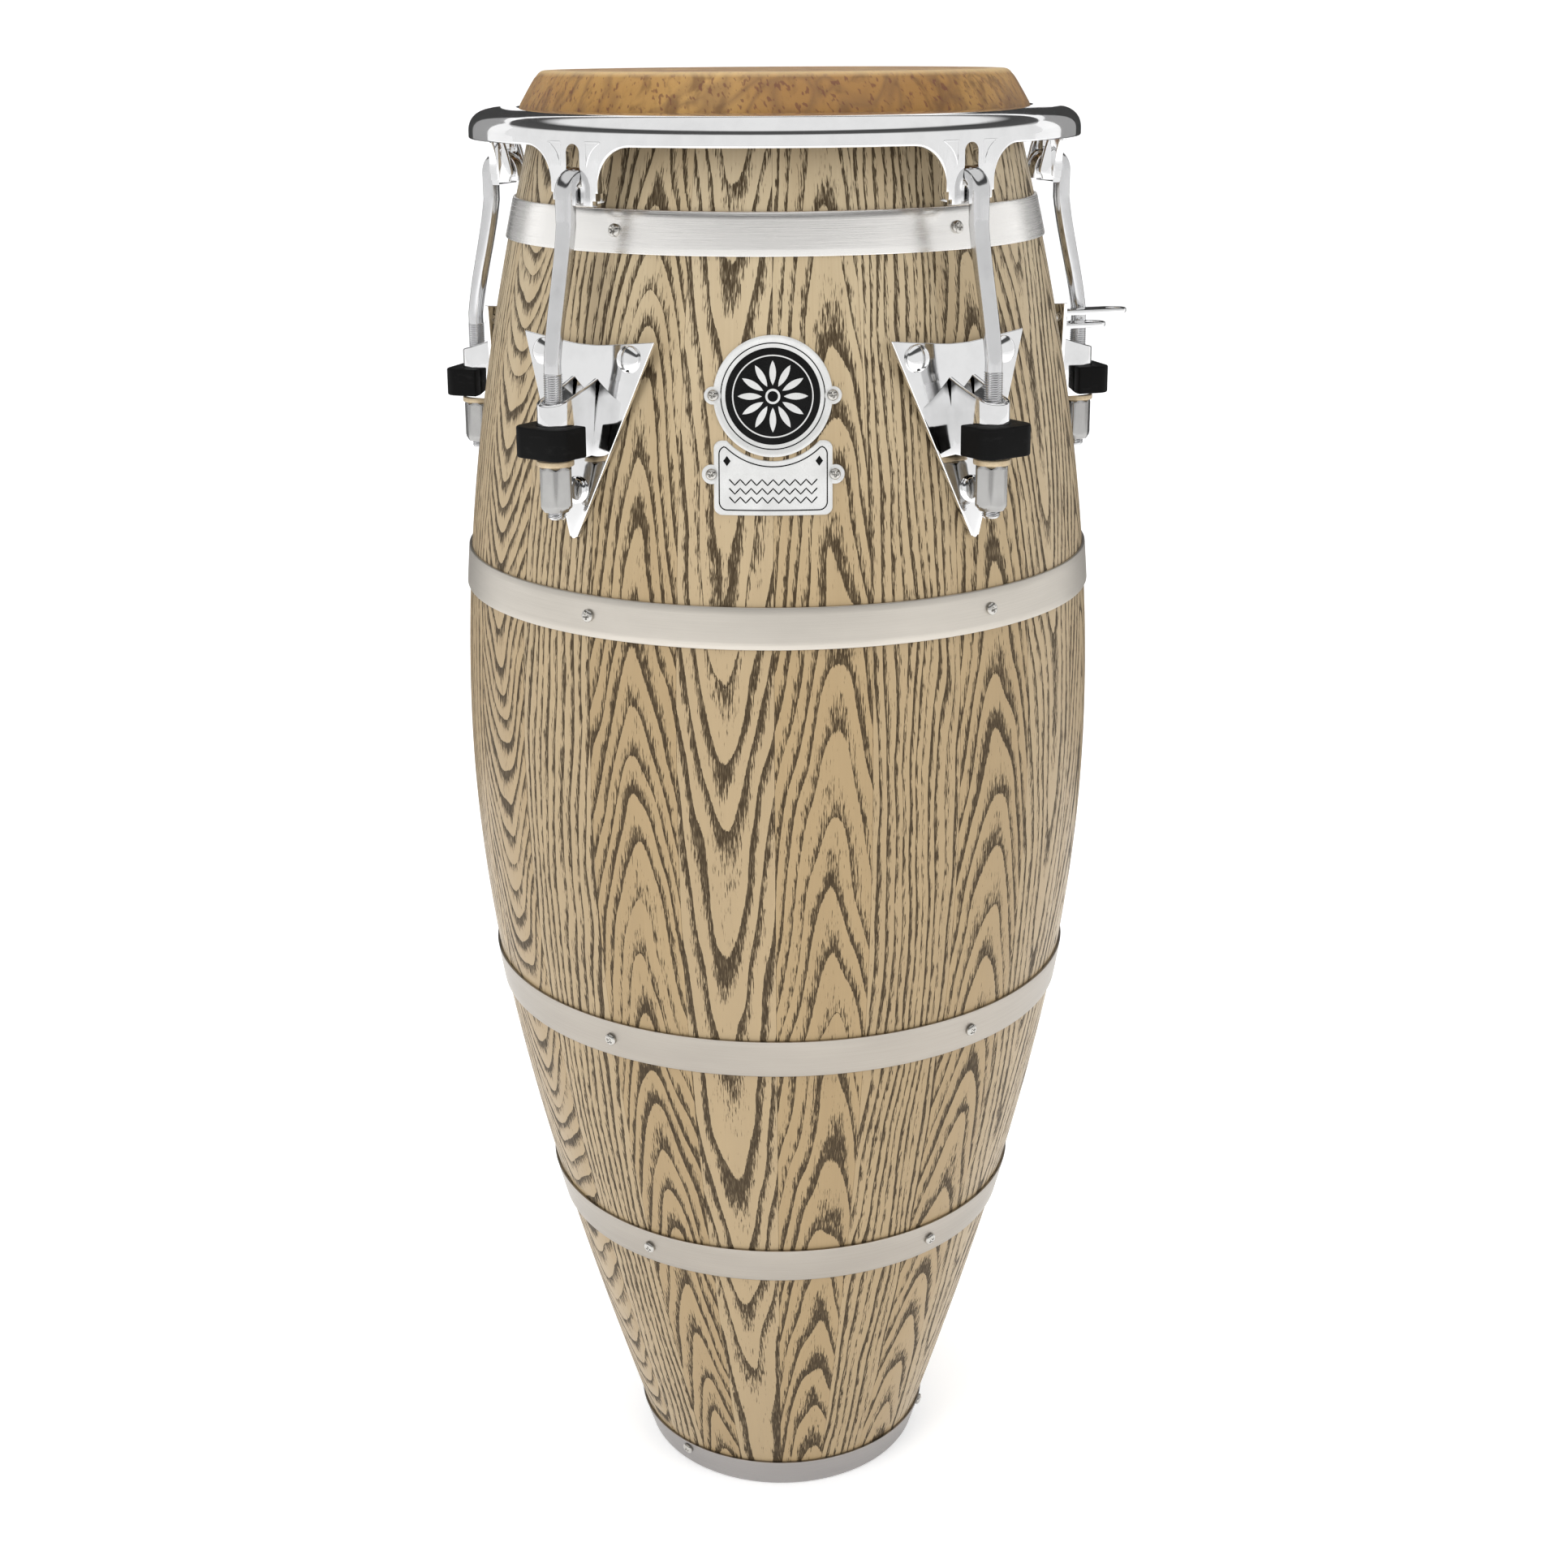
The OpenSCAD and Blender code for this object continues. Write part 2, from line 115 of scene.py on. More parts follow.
def lug_turn(i):
    return math.radians(-126 + 360 / LUGS * i)


FRONT = math.radians(-90)


# ---- mesh building

def lattice(points, wrap_rows=False, wrap_cols=False):
    """Quads over a rows x columns x 3 array of points."""
    points = np.asarray(points, float)
    rows, cols = points.shape[:2]
    faces = []
    for r in range(rows if wrap_rows else rows - 1):
        for c in range(cols if wrap_cols else cols - 1):
            r2, c2 = (r + 1) % rows, (c + 1) % cols
            faces.append((r * cols + c, r * cols + c2, r2 * cols + c2, r2 * cols + c))
    return points.reshape(-1, 3), faces


def around(steps):
    """Evenly spaced angles of a whole turn."""
    return np.linspace(0, TURN, steps, endpoint=False)


def ring_at(r, z, angles, x=0.0):
    """A level ring of points about an upright axis at x."""
    return np.column_stack([x + r * np.cos(angles), r * np.sin(angles), np.full(len(angles), z)])


def spun(profile, steps):
    """Points of a (radius, z) outline at even turns about the drum's axis."""
    return np.array([ring_at(r, z, around(steps)) for r, z in profile])


def revolve(profile, steps=256):
    """A closed outline of (radius, z) points, turned about the drum's axis."""
    return lattice(spun(profile, steps), wrap_rows=True, wrap_cols=True)


def lathe(profile, steps=48):
    """An open outline of (radius, z) points whose two ends lie on the axis."""
    points = spun(profile[1:-1], steps)
    verts, faces = lattice(points, wrap_cols=True)
    first, last, top = len(verts), len(verts) + 1, len(verts) - steps
    verts = np.vstack([verts, [[0, 0, profile[0][1]], [0, 0, profile[-1][1]]]])
    for c in range(steps):
        c2 = (c + 1) % steps
        faces += [(first, c2, c), (last, top + c, top + c2)]
    return verts, faces


def capped(rows):
    """A skin over closed rows of points, with a flat cap on the first and the last."""
    verts, faces = lattice(rows, wrap_cols=True)
    n = len(rows[0])
    return verts, faces + [tuple(range(n))[::-1], tuple(range(len(verts) - n, len(verts)))]


def walled(low, high):
    """A closed slab between two outlines of as many points."""
    n = len(low)
    faces = [tuple(range(n))[::-1], tuple(range(n, 2 * n))]
    faces += [(k, (k + 1) % n, n + (k + 1) % n, n + k) for k in range(n)]
    return np.vstack([low, high]), faces


def prism(outline, low, high):
    """A flat outline of (x, y) points pushed up from low to high, which may depend on x, y."""
    outline = np.asarray(outline, float)
    tops = [high(x, y) if callable(high) else high for x, y in outline]
    return walled(np.column_stack([outline, np.full(len(outline), low)]),
                  np.column_stack([outline, tops]))


def eyelet(x, y, hole_r, half, back, low, high, ahead=0.0):
    """A level plate round a hole at (x, y): square behind, its round front moved ahead."""
    steps, tiny = 64, 1e-6
    c, s = np.cos(around(steps)), np.sin(around(steps))
    reach = np.minimum(back / np.maximum(-c, tiny), half / np.maximum(np.abs(s), tiny))
    hole = x + hole_r * c, y + hole_r * s
    reach = np.where(c >= 0, half, reach)
    border = x + np.where(c >= 0, ahead, 0) + reach * c, y + reach * s
    return lattice([np.column_stack([*ring, np.full(steps, z)]) for ring, z in
                    ((hole, low), (border, low), (border, high), (hole, high))],
                   wrap_rows=True, wrap_cols=True)


def heading(points):
    """Unit steps along a line of points."""
    run = np.gradient(np.asarray(points, float), axis=0)
    return run / np.linalg.norm(run, axis=1)[:, None]


def tube(path, section):
    """Sections of (side, up) points, one for each step of a path in a lug's x-z plane."""
    return capped([[[x + dz * up, side, z - dx * up] for side, up in section(k)]
                   for k, ((x, z), (dx, dz)) in enumerate(zip(path, heading(path)))])


def turned(part, angle):
    verts, faces = part
    c, s = math.cos(angle), math.sin(angle)
    spin = np.array([[c, -s, 0], [s, c, 0], [0, 0, 1]])
    return np.asarray(verts) @ spin.T, faces


def moved(part, offset):
    return np.asarray(part[0]) + np.asarray(offset, float), part[1]


def at_lugs(parts):
    """Copies of some parts, built in a lug's own frame, at every lug."""
    return [turned(part, lug_turn(i)) for i in range(LUGS) for part in parts]


def stood(part, z):
    """Stands a part, built as (out, across, up the wall), on the wood at a height."""
    out, across, along = np.asarray(part[0], float).T
    c, s = math.cos(wall_lean(z)), math.sin(wall_lean(z))
    x = wall_r(z) + out * c - along * s
    return np.column_stack([x, across, z + out * s + along * c]), part[1]


def on_wall(part, angle, z, lift=0.0, spin=0.0):
    """Stands a part, built on z = 0, on the wood at an angle round the drum and a height."""
    x, y, up = np.asarray(turned(part, spin)[0]).T
    return turned(stood((np.column_stack([up + lift, y, -x]), part[1]), z), angle)


def wall_point(across, z, off):
    """A point off the wood, at a sideways distance from a lug's middle."""
    r = wall_r(z) + off
    y = np.asarray(across, float)
    return np.stack([np.sqrt(r ** 2 - y ** 2), y + 0 * r, np.asarray(z, float) + 0 * r], axis=-1)


def along_plate(z):
    return (z - PLATE_MID) / math.cos(wall_lean(PLATE_MID))


def stood_out(part):
    """Turns a part built on z = 0 so that its z runs outwards."""
    return np.asarray(part[0], float)[:, [2, 0, 1]], part[1]


def arc(centre, r, start, end, steps):
    """Points along an arc, its ends included; angles in degrees."""
    angles = np.radians(np.linspace(start, end, steps + 1))
    return [(centre[0] + r * math.cos(a), centre[1] + r * math.sin(a)) for a in angles]


def linked(name, data):
    obj = bpy.data.objects.new(name, data)
    bpy.context.scene.collection.objects.link(obj)
    return obj


def shaded(mesh, smooth):
    """Shades a mesh smooth up to an angle between faces, in degrees."""
    mesh.polygons.foreach_set("use_smooth", [True] * len(mesh.polygons))
    mesh.set_sharp_from_angle(angle=math.radians(smooth))


def make(name, parts, material, smooth=35.0):
    """One object out of a list of parts, in metres, shaded smooth up to an angle."""
    verts, faces, base = [], [], 0
    for part_verts, part_faces in parts:
        verts.append(np.asarray(part_verts, float) * MM)
        faces += [tuple(base + k for k in face) for face in part_faces]
        base += len(part_verts)
    mesh = bpy.data.meshes.new(name)
    mesh.from_pydata(np.vstack(verts).tolist(), [], faces)
    mesh.validate()
    shell = bmesh.new()
    shell.from_mesh(mesh)
    bmesh.ops.recalc_face_normals(shell, faces=shell.faces)
    shell.to_mesh(mesh)
    shell.free()
    shaded(mesh, smooth)
    mesh.materials.append(material)
    return linked(name, mesh)


def hand_over(piece, node=None, body="drum"):
    """Says which body a piece rides on, which CAD node it replaces."""
    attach(piece, body)
    if node:
        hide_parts(node)


def modified(obj, kind, **settings):
    """Adds a modifier and bakes it into the mesh."""
    modifier = obj.modifiers.new(kind.title(), kind)
    for key, value in settings.items():
        setattr(modifier, key, value)
    bpy.context.view_layer.update()
    graph = bpy.context.evaluated_depsgraph_get()
    mesh = bpy.data.meshes.new_from_object(obj.evaluated_get(graph))
    obj.modifiers.clear()
    old, obj.data = obj.data, mesh
    bpy.data.meshes.remove(old)


def rounded(obj, width, segments=2, smooth=40.0):
    """Breaks the sharp edges of an object."""
    modified(obj, "BEVEL", width=width * MM, segments=segments, limit_method="ANGLE",
             angle_limit=math.radians(32), harden_normals=False)
    shaded(obj.data, smooth)


# ---- materials

class Nodes:
    """Short words for building a node material."""

    def __init__(self, name):
        self.material = bpy.data.materials.new(name)
        self.material.use_nodes = True
        self.tree = self.material.node_tree
        self.shader = self.tree.nodes["Principled BSDF"]

    def add(self, kind, **settings):
        node = self.tree.nodes.new(kind)
        for key, value in settings.items():
            setattr(node, key, value)
        return node

    def put(self, value, socket):
        if isinstance(value, bpy.types.NodeSocket):
            self.tree.links.new(value, socket)
        elif socket.type == "RGBA":
            socket.default_value = (*value, 1.0)
        else:
            socket.default_value = value

    def fill(self, node, *values, **named):
        """Puts values in a node's inputs, in order or by name, and gives its outputs."""
        for socket, value in zip(node.inputs, values):
            self.put(value, socket)
        for key, value in named.items():
            self.put(value, node.inputs[key.replace("_", " ")])
        return node.outputs

    def math(self, operation, *values):
        return self.fill(self.add("ShaderNodeMath", operation=operation), *values, 0.0, 0.0)[0]

    def times(self, a, b):
        return self.math("MULTIPLY", a, b)

    def less(self, a, b):
        return self.math("SUBTRACT", a, b)

    def more(self, a, share, base):
        """The base with a share of a added."""
        return self.math("MULTIPLY_ADD", a, share, base)

    def reach(self, a, b):
        """How long a step of a one way and b across it is."""
        return self.math("SQRT", self.math("ADD", self.times(a, a), self.times(b, b)))

    def vector(self, x, y, z):
        return self.fill(self.add("ShaderNodeCombineXYZ"), x, y, z)[0]

    def split(self, vector):
        return self.fill(self.add("ShaderNodeSeparateXYZ"), vector)

    def place(self, x=1, y=None, z=None):
        """Where a point is on the object, stretched along each axis."""
        node = self.add("ShaderNodeMapping")
        scale = (x, x if y is None else y, x if z is None else z)
        point = self.add("ShaderNodeTexCoord").outputs["Object"]
        return self.fill(node, Vector=point, Scale=scale)[0]

    def noise(self, vector, detail=2.0, rough=0.5, distortion=0.0):
        return self.fill(self.add("ShaderNodeTexNoise"), Vector=vector, Scale=1.0, Detail=detail,
                         Roughness=rough, Distortion=distortion)["Fac"]

    def range(self, value, low, high, to_low=0.0, to_high=1.0, kind="LINEAR"):
        node = self.add("ShaderNodeMapRange", clamp=True, interpolation_type=kind)
        return self.fill(node, value, low, high, to_low, to_high)[0]

    def mix(self, share, a, b):
        node = self.add("ShaderNodeMix", data_type="RGBA")
        for value, k in ((share, 0), (a, 6), (b, 7)):
            self.put(value, node.inputs[k])
        return node.outputs[2]

    def attribute(self, name):
        return self.add("ShaderNodeAttribute", attribute_name=name).outputs["Vector"]

    def bump(self, height, distance, strength=1.0):
        return self.fill(self.add("ShaderNodeBump"), Strength=strength, Distance=distance,
                         Height=height)[0]

    def finish(self, color, rough, normal=None, **fixed):
        if normal is not None:
            fixed["Normal"] = normal
        self.fill(self.shader, Base_Color=color, Roughness=rough, **fixed)
        return self.material


def ash_material():
    """Open-pored ash, stave by stave: darkened pores in growth rings under a satin lacquer."""
    n = Nodes("ash_wood")
    across, up, number = n.split(n.attribute("stave"))
    heart, depth, taper = n.split(n.attribute("board"))
    spacing, phase, tint = n.split(n.attribute("rings"))

    def grain(per_metre, per_height, seed, *noise):
        stretched = n.vector(n.times(across, per_metre), n.times(up, per_height), seed)
        return n.noise(stretched, *noise)

    # the board's face cuts nested cones of growth rings at a depth from the heart
    slow = grain(26.0, 7.5, n.times(number, 3.7), 2.0, 0.45)
    wobble = n.times(n.less(slow, 0.5), 0.020)
    cone = n.more(taper, up, n.reach(n.less(across, heart), depth))
    ring = n.math("ADD", n.math("DIVIDE", n.math("ADD", cone, wobble), spacing), phase)
    part = n.math("FRACT", ring)
    # pores crowd at the start of a ring and thin out through it
    band = n.math("MAXIMUM", n.range(part, 0.0, 0.62, 1.0, 0.0), n.range(part, 0.94, 1.0))
    # some years grew fewer pores than others
    year = n.noise(n.vector(n.times(n.math("FLOOR", ring), 5.31), number, 0.0), 1.0)
    band = n.times(band, n.range(year, 0.34, 0.62, 0.55, 1.25))
    dash = grain(1700.0, 130.0, number, 2.0, 0.6)
    fine = grain(3600.0, 160.0, n.math("ADD", number, 40.0), 1.0, 0.5)
    clump = grain(130.0, 26.0, n.math("ADD", number, 9.0), 2.0, 0.5)
    ragged = n.more(n.less(dash, 0.5), 2.5, band)
    ragged = n.more(n.less(clump, 0.5), 1.0, ragged)
    pores = n.range(ragged, 0.36, 0.62, kind="SMOOTHSTEP")
    pores = n.times(pores, n.range(fine, 0.30, 0.48, 0.6, 1.0))
    tone = n.range(grain(40.0, 5.0, number, 3.0), 0.3, 0.7)
    fibre = n.range(grain(900.0, 18.0, number, 2.0), 0.3, 0.7)
    # Paler wood near the top, darker and warmer lower down: painted light falling off towards the
    # bottom.
    light = n.mix(n.range(up, 0.71, 0.48), (0.485, 0.402, 0.270), (0.365, 0.264, 0.143))
    for share, field, shade in ((0.55, tone, (0.305, 0.216, 0.114)),
                                (0.20, fibre, (0.28, 0.21, 0.12)),
                                (0.35, tint, (0.46, 0.375, 0.255))):
        light = n.mix(n.times(field, share), light, shade)
    color = n.mix(n.times(pores, 0.97), light, (0.034, 0.021, 0.009))
    height = n.more(pores, -1.0, n.times(fibre, 0.25))
    return n.finish(color, n.range(pores, 0.0, 1.0, 0.36, 0.62), n.bump(height, 0.00012, 0.55),
                    Coat_Weight=0.06, Coat_Roughness=0.22, Specular_IOR_Level=0.16)


def hide_material():
    """Thick rawhide: golden tan with dark veins, short red-brown flecks and paler worn crown."""
    n = Nodes("rawhide")
    x, y, z = n.split(n.place())
    around_axis, from_axis = n.math("ARCTAN2", y, x), n.reach(x, y)
    broad = n.noise(n.place(14, 14, 9), 3.0)
    stripe = n.noise(n.place(135, 135, 22), 3.0, 0.55, 0.5)
    vein_field = n.noise(n.place(42, 42, 18), 1.0, 0.5, 0.7)
    vein = n.range(n.math("ABSOLUTE", n.less(vein_field, 0.5)), 0.0, 0.07, 1.0, 0.0)
    slant = n.vector(n.more(z, 260.0, n.times(around_axis, 62.0)),
                     n.more(around_axis, -14.0, n.times(z, 210.0)), n.times(from_axis, 300.0))
    fleck = n.range(n.noise(slant, 1.0), 0.60, 0.67)
    pore = n.noise(n.place(1500))
    color = n.mix(n.range(broad, 0.35, 0.65), (0.37, 0.218, 0.066), (0.25, 0.125, 0.031))
    for share, field, shade in (
            (0.75, n.range(stripe, 0.46, 0.72, kind="SMOOTHSTEP"), (0.105, 0.046, 0.013)),
            (0.55, vein, (0.12, 0.058, 0.024)), (0.7, fleck, (0.10, 0.03, 0.015))):
        color = n.mix(n.times(field, share), color, shade)
    top = DRUM_H * MM
    crown = n.times(n.range(z, top - 0.0026, top - 0.0006, 0.0, 0.6),
                    n.range(from_axis, 0.104, 0.114))
    color = n.mix(crown, color, (0.52, 0.38, 0.19))
    height = n.math("ADD", n.times(pore, 0.4), n.times(broad, 2.0))
    return n.finish(color, n.range(pore, 0.3, 0.7, 0.42, 0.6), n.bump(height, 0.0002, 0.5),
                    Subsurface_Weight=0.06, Subsurface_Scale=0.004, Sheen_Weight=0.05)


def plated_material(name, color, low, high, smear=60.0):
    """Polished plating with faint smears, hairlines and a little unevenness."""
    n = Nodes(name)
    cloud = n.noise(n.place(smear), 3.0, 0.6)
    hair = n.noise(n.place(2600, 2600, 180), 2.0, 0.6)
    rough = n.math("ADD", n.range(cloud, 0.35, 0.7, low, high),
                   n.times(n.range(hair, 0.55, 0.75), 0.05))
    dull = tuple(0.86 * c for c in color)
    tinted = n.mix(n.range(cloud, 0.4, 0.75, 0.0, 0.6), color, dull)
    wave = n.noise(n.place(90), 1.0)
    return n.finish(tinted, rough, n.bump(wave, 0.00008, 0.35), Metallic=1.0)


def brushed_material(name, color, rough, stain=0.80, metallic=1.0):
    """Steel brushed along the band: fine lines round the drum, with faint stains."""
    n = Nodes(name)
    lines = n.noise(n.place(14, 14, 5200), 3.0, 0.7)
    broad = n.noise(n.place(14, 14, 60), 3.0)
    dull = tuple(stain * c for c in color)
    tinted = n.mix(n.range(broad, 0.3, 0.75, 0.0, 0.55), color, dull)
    tinted = n.mix(n.range(lines, 0.45, 0.72, 0.0, 0.35), tinted, dull)
    roughness = n.math("ADD", n.range(lines, 0.3, 0.7, rough - 0.05, rough + 0.10),
                       n.times(broad, 0.06))
    return n.finish(tinted, roughness, n.bump(lines, 0.00005, 0.5), Metallic=metallic,
                    Anisotropic=0.45)


def rubber_material():
    """Moulded rubber, satin, with a fine grain and grey scuffs."""
    n = Nodes("bumper_rubber")
    grain = n.noise(n.place(2400), 2.0, 0.6)
    scuff = n.range(n.noise(n.place(120, 120, 420), 3.0, 0.65), 0.58, 0.74)
    color = n.mix(n.times(scuff, 0.35), (0.006, 0.006, 0.006), (0.02, 0.02, 0.02))
    rough = n.more(scuff, 0.15, n.range(grain, 0.3, 0.7, 0.42, 0.58))
    return n.finish(color, rough, n.bump(grain, 0.00006, 0.45), Specular_IOR_Level=0.04)


def mottled_material(name, light, dark, rough, scale, metallic=0.0, shine=0.5):
    """A plain material with fine mottling and a grain to match."""
    n = Nodes(name)
    grain = n.noise(n.place(scale), 3.0, 0.6)
    broad = n.noise(n.place(scale / 12))
    color = n.mix(n.range(broad, 0.3, 0.7, 0.0, 0.7), light, dark)
    color = n.mix(n.range(grain, 0.45, 0.75, 0.0, 0.5), color, dark)
    return n.finish(color, n.range(grain, 0.3, 0.7, rough - 0.07, rough + 0.09),
                    n.bump(grain, 0.00006, 0.5), Metallic=metallic,
                    Specular_IOR_Level=shine)


ASH = ash_material()
HIDE = hide_material()
CHROME = plated_material("chrome", (0.91, 0.91, 0.912), 0.035, 0.10)
NUT_METAL = plated_material("nut_chrome", (0.38, 0.375, 0.366), 0.16, 0.26)
ROD_METAL = plated_material("rod_chrome", (0.68, 0.68, 0.685), 0.10, 0.18)
# One steel for every band and the foot ring, its colour stepped from light at the neck to dark at the
# foot: painted light falling off towards the bottom.
NECK_STEEL_PAINTED_LIT = brushed_material("neck_steel_painted_lit", (0.95, 0.93, 0.90), 0.16, 0.93, 0.90)
BELLY_STEEL_PAINTED_SHADE = brushed_material("band_steel", (0.60, 0.56, 0.50), 0.30)
LOWER_STEEL_PAINTED_SHADE = brushed_material("lower_steel_painted_shade", (0.42, 0.385, 0.34), 0.32)
FOOT_STEEL_PAINTED_SHADE = brushed_material("foot_steel_painted_shade", (0.38, 0.36, 0.35), 0.36)
SCREW_METAL = plated_material("screw_nickel", (0.52, 0.505, 0.475), 0.12, 0.22, 400.0)
RUBBER = rubber_material()
WASHER = mottled_material("washer_brass", (0.62, 0.50, 0.33), (0.42, 0.32, 0.20), 0.42, 900, 0.6)
BADGE_METAL = mottled_material("badge_silver", (0.66, 0.66, 0.65), (0.54, 0.54, 0.53), 0.34,
                               1200, 0.35)
BADGE_BLACK = mottled_material("badge_black", (0.005, 0.005, 0.005), (0.009, 0.009, 0.009), 0.30,
                               1500, shine=0.06)
BACKING = brushed_material("backing_steel", (0.42, 0.42, 0.43), 0.40)


# ---- shell

def stave_profile():
    """Outline of a stave's section: up the outside, over the bearing edge, down the inside."""
    edge = DRUM_H - 5.5
    edge_r = wall_r(edge)
    outer_z = np.linspace(WOOD_LOW, edge, 150)
    inner_z = np.linspace(WOOD_TOP - 7, WOOD_LOW, 70)
    outer = np.column_stack([wall_r(outer_z), outer_z])
    crown = np.array(arc((edge_r - 4.0, WOOD_TOP - 3.4), 3.4, 20, 90, 8) + [(edge_r - 8, WOOD_TOP)])
    inner = np.column_stack([wall_r(inner_z) - WOOD_T, inner_z])
    return np.vstack([outer, crown, inner]), len(outer)


# ranges of heart offset, depth, taper and ring spacing for arched, cupped, U and straight grain
BOARD_CUTS = {
    "A": ((-0.007, 0.007), (0.003, 0.010), (0.12, 0.19), (0.0046, 0.0062)),
    "C": ((-0.007, 0.007), (0.003, 0.010), (-0.096, -0.152), (0.0046, 0.0062)),
    "U": ((-0.004, 0.004), (0.018, 0.026), (-0.26, -0.34), (0.0036, 0.0042)),
    "S": ((0.024, 0.050), (0.005, 0.020), (-0.04, 0.04), (0.0036, 0.0050)),
}
BOARD_ORDER = "ASACASUSACAS"


def board_cut(number):
    """How a stave was cut: heart offset, depth, taper; ring spacing, phase, tint."""
    kind = BOARD_ORDER[number % len(BOARD_ORDER)]
    side = 1 if RNG.random() < 0.5 or kind != "S" else -1
    heart, depth, taper, spacing = (low + (high - low) * RNG.random()
                                    for low, high in BOARD_CUTS[kind])
    return (side * heart, depth, taper), (spacing, RNG.random(), RNG.random())


def build_shell():
    profile, outer_count = stave_profile()
    step, columns = TURN / STAVES, 11
    seam, eased = math.radians(0.05), 0.22
    half = (step - seam) / 2
    angles = np.linspace(-half, half, columns)
    radius = np.repeat(profile[:, :1], columns, 1)
    radius[:outer_count, [0, -1]] -= eased
    levels = np.repeat(profile[:, 1:], columns, 1)
    parts, stave, board, rings = [], [], [], []
    for number in range(STAVES):
        turn = FRONT + (number + 0.5) * step + angles
        points = np.stack([radius * np.cos(turn), radius * np.sin(turn), levels], axis=-1)
        verts, faces = lattice(points, wrap_rows=True)
        faces.append(tuple(range(0, len(verts), columns)))
        faces.append(tuple(range(columns - 1, len(verts), columns))[::-1])
        parts.append((verts, faces))
        across = (radius * angles * MM).reshape(-1)
        stave.append(np.column_stack([across, verts[:, 2] * MM, np.full(len(verts), number)]))
        for rows, values in zip((board, rings), board_cut(number)):
            rows.append(np.tile(values, (len(verts), 1)))
    shell = make("ash_staves", parts, ASH)
    for name, rows in (("stave", stave), ("board", board), ("rings", rings)):
        layer = shell.data.attributes.new(name, "FLOAT_VECTOR", "POINT")
        layer.data.foreach_set("vector", np.vstack(rows).astype(np.float32).reshape(-1))
    hand_over(shell, "shell_staves")


# ---- head

def build_head():
    """The skin: flat, rounded over the bearing edge, then down the collar and under the rim."""
    top = DRUM_H
    crown = arc((114.6, top - 4.6), 4.6, 90, 32, 9)
    outer = [(r, top) for r in np.linspace(2, 112, 28)] + crown
    outer += [(r, top - fall) for r, fall in (
        (120.1, 3.9), (121.7, 6.4), (123.6, 9.6), (125.6, 13.0), (127.3, 16.0), (128.3, 18.6),
        (128.9, 21.2), (130.2, 22.7))]
    inner = outer + SKIN_T * heading(outer)[:, ::-1] * [1, -1]
    profile = np.vstack([[(0, top)], outer, inner[::-1], [(0, top - SKIN_T)]])
    skin = make("rawhide_skin", [lathe(profile, 288)], HIDE, 60)
    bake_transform(skin)
    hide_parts("head_skin")


# ---- rim

def ear_edge():
    """How low the rim reaches along an ear: (sideways, height) pairs across one lug."""
    tiny = 0.04
    centre = EAR_HALF + 3 + ARCH_R
    arch_z = RIM_LOW - ARCH_R
    half = [(y, EAR_LOW) for y in (0, 4, 8, EAR_HALF - tiny)]
    half += [(EAR_HALF + step, EAR_LOW + rise) for step, rise in
             ((tiny, 2.5), (1.8 - tiny, 2.5), (1.8 + tiny, 6), (3 - tiny, 6))]
    half += arc((centre, arch_z), ARCH_R, 180, 90, 20)
    last = RIM_R * math.sin(math.pi / LUGS - 0.012)
    half += [(y, RIM_LOW) for y in np.linspace(centre + 3, last, 20)]
    return [(-y, z) for y, z in half[:0:-1]] + half


def rim_section(low):
    """The rim's section with its outer face reaching down to low: curled top, upright skirt."""
    face = RIM_LOW + 3.8
    e = 0.7
    skirt = np.linspace(low + e, face, 9)
    outside = arc((RIM_R - e, low + e), e, -90, 0, 3)[:-1]
    outside += [(RIM_R, z) for z in skirt]
    curl = [(r, face + rise) for r, rise in (
        (153.25, 1.5), (152.9, 3.0), (152.2, 4.7), (151.1, 6.3), (149.6, 7.7), (147.6, 8.9),
        (145.2, 9.75), (142.4, 10.35), (139.2, 10.7), (136.0, 10.85), (133.0, 10.9),
        (131.0, 10.8))]
    lip = arc((130.9, face + 9.2), 1.6, 90, 270, 6)
    under = [(r, face + rise) for r, rise in (
        (134, 7.0), (138, 6.6), (142, 5.9), (145, 4.9), (147.2, 3.4), (148.6, 1.6))]
    inside = [(RIM_R - RIM_T, z) for z in skirt[::-1]]
    inside += arc((RIM_R - RIM_T + e, low + e), e, 180, 270, 3)[1:]
    return outside + curl + lip + under + inside


def rim_body():
    columns = []
    for i in range(LUGS):
        for y, low in ear_edge():
            angle = lug_turn(i) + math.asin(y / RIM_R)
            columns.append([(r * math.cos(angle), r * math.sin(angle), z)
                            for r, z in rim_section(low)])
    return lattice(np.transpose(columns, (1, 0, 2)), wrap_rows=True, wrap_cols=True)


def slot_cutter():
    """What a slot takes out of an ear, wider low down where the hook's bend passes."""
    half = 4.0
    flare = [(half + 1.2, CROSSBAR), (half + 0.8, CROSSBAR + 5), (half, CROSSBAR + 9)]
    outline = arc((0, RIM_LOW + 1.2 - half), half, 0, 180, 16)
    outline += [(-y, z) for y, z in flare[::-1]] + flare
    return stood_out(prism(outline, RIM_R - 14, RIM_R + 6))


def ear_ridges():
    """Thin raised lines, a three-cornered panel on each side of a slot."""
    high, low, bowed = RIM_LOW + 2.0, RIM_LOW - 8.6, 1.4
    corners = np.array([(7.4, high), (15.6, high), (7.9, low)])
    shares = np.linspace(0, 1, 9)[:, None]
    aside, lift = np.array([(-0.42, -0.3), (-0.26, 0.28), (0.26, 0.28), (0.42, -0.3)]).T
    parts = []
    for side in (-1, 1):
        for k in range(3):
            run = corners[(k + 1) % 3] - corners[k]
            bow = bowed * np.array([-1.0, 0.6]) * (k == 1)
            line = corners[k] + run * shares + bow * np.sin(math.pi * shares)
            across = np.array([-run[1], run[0]]) / math.hypot(*run)
            y = side * (line[:, :1] + across[0] * aside)
            parts.append(capped(np.stack([np.sqrt((RIM_R + lift) ** 2 - y ** 2), y,
                                          line[:, 1:] + across[1] * aside], axis=-1)))
    return parts


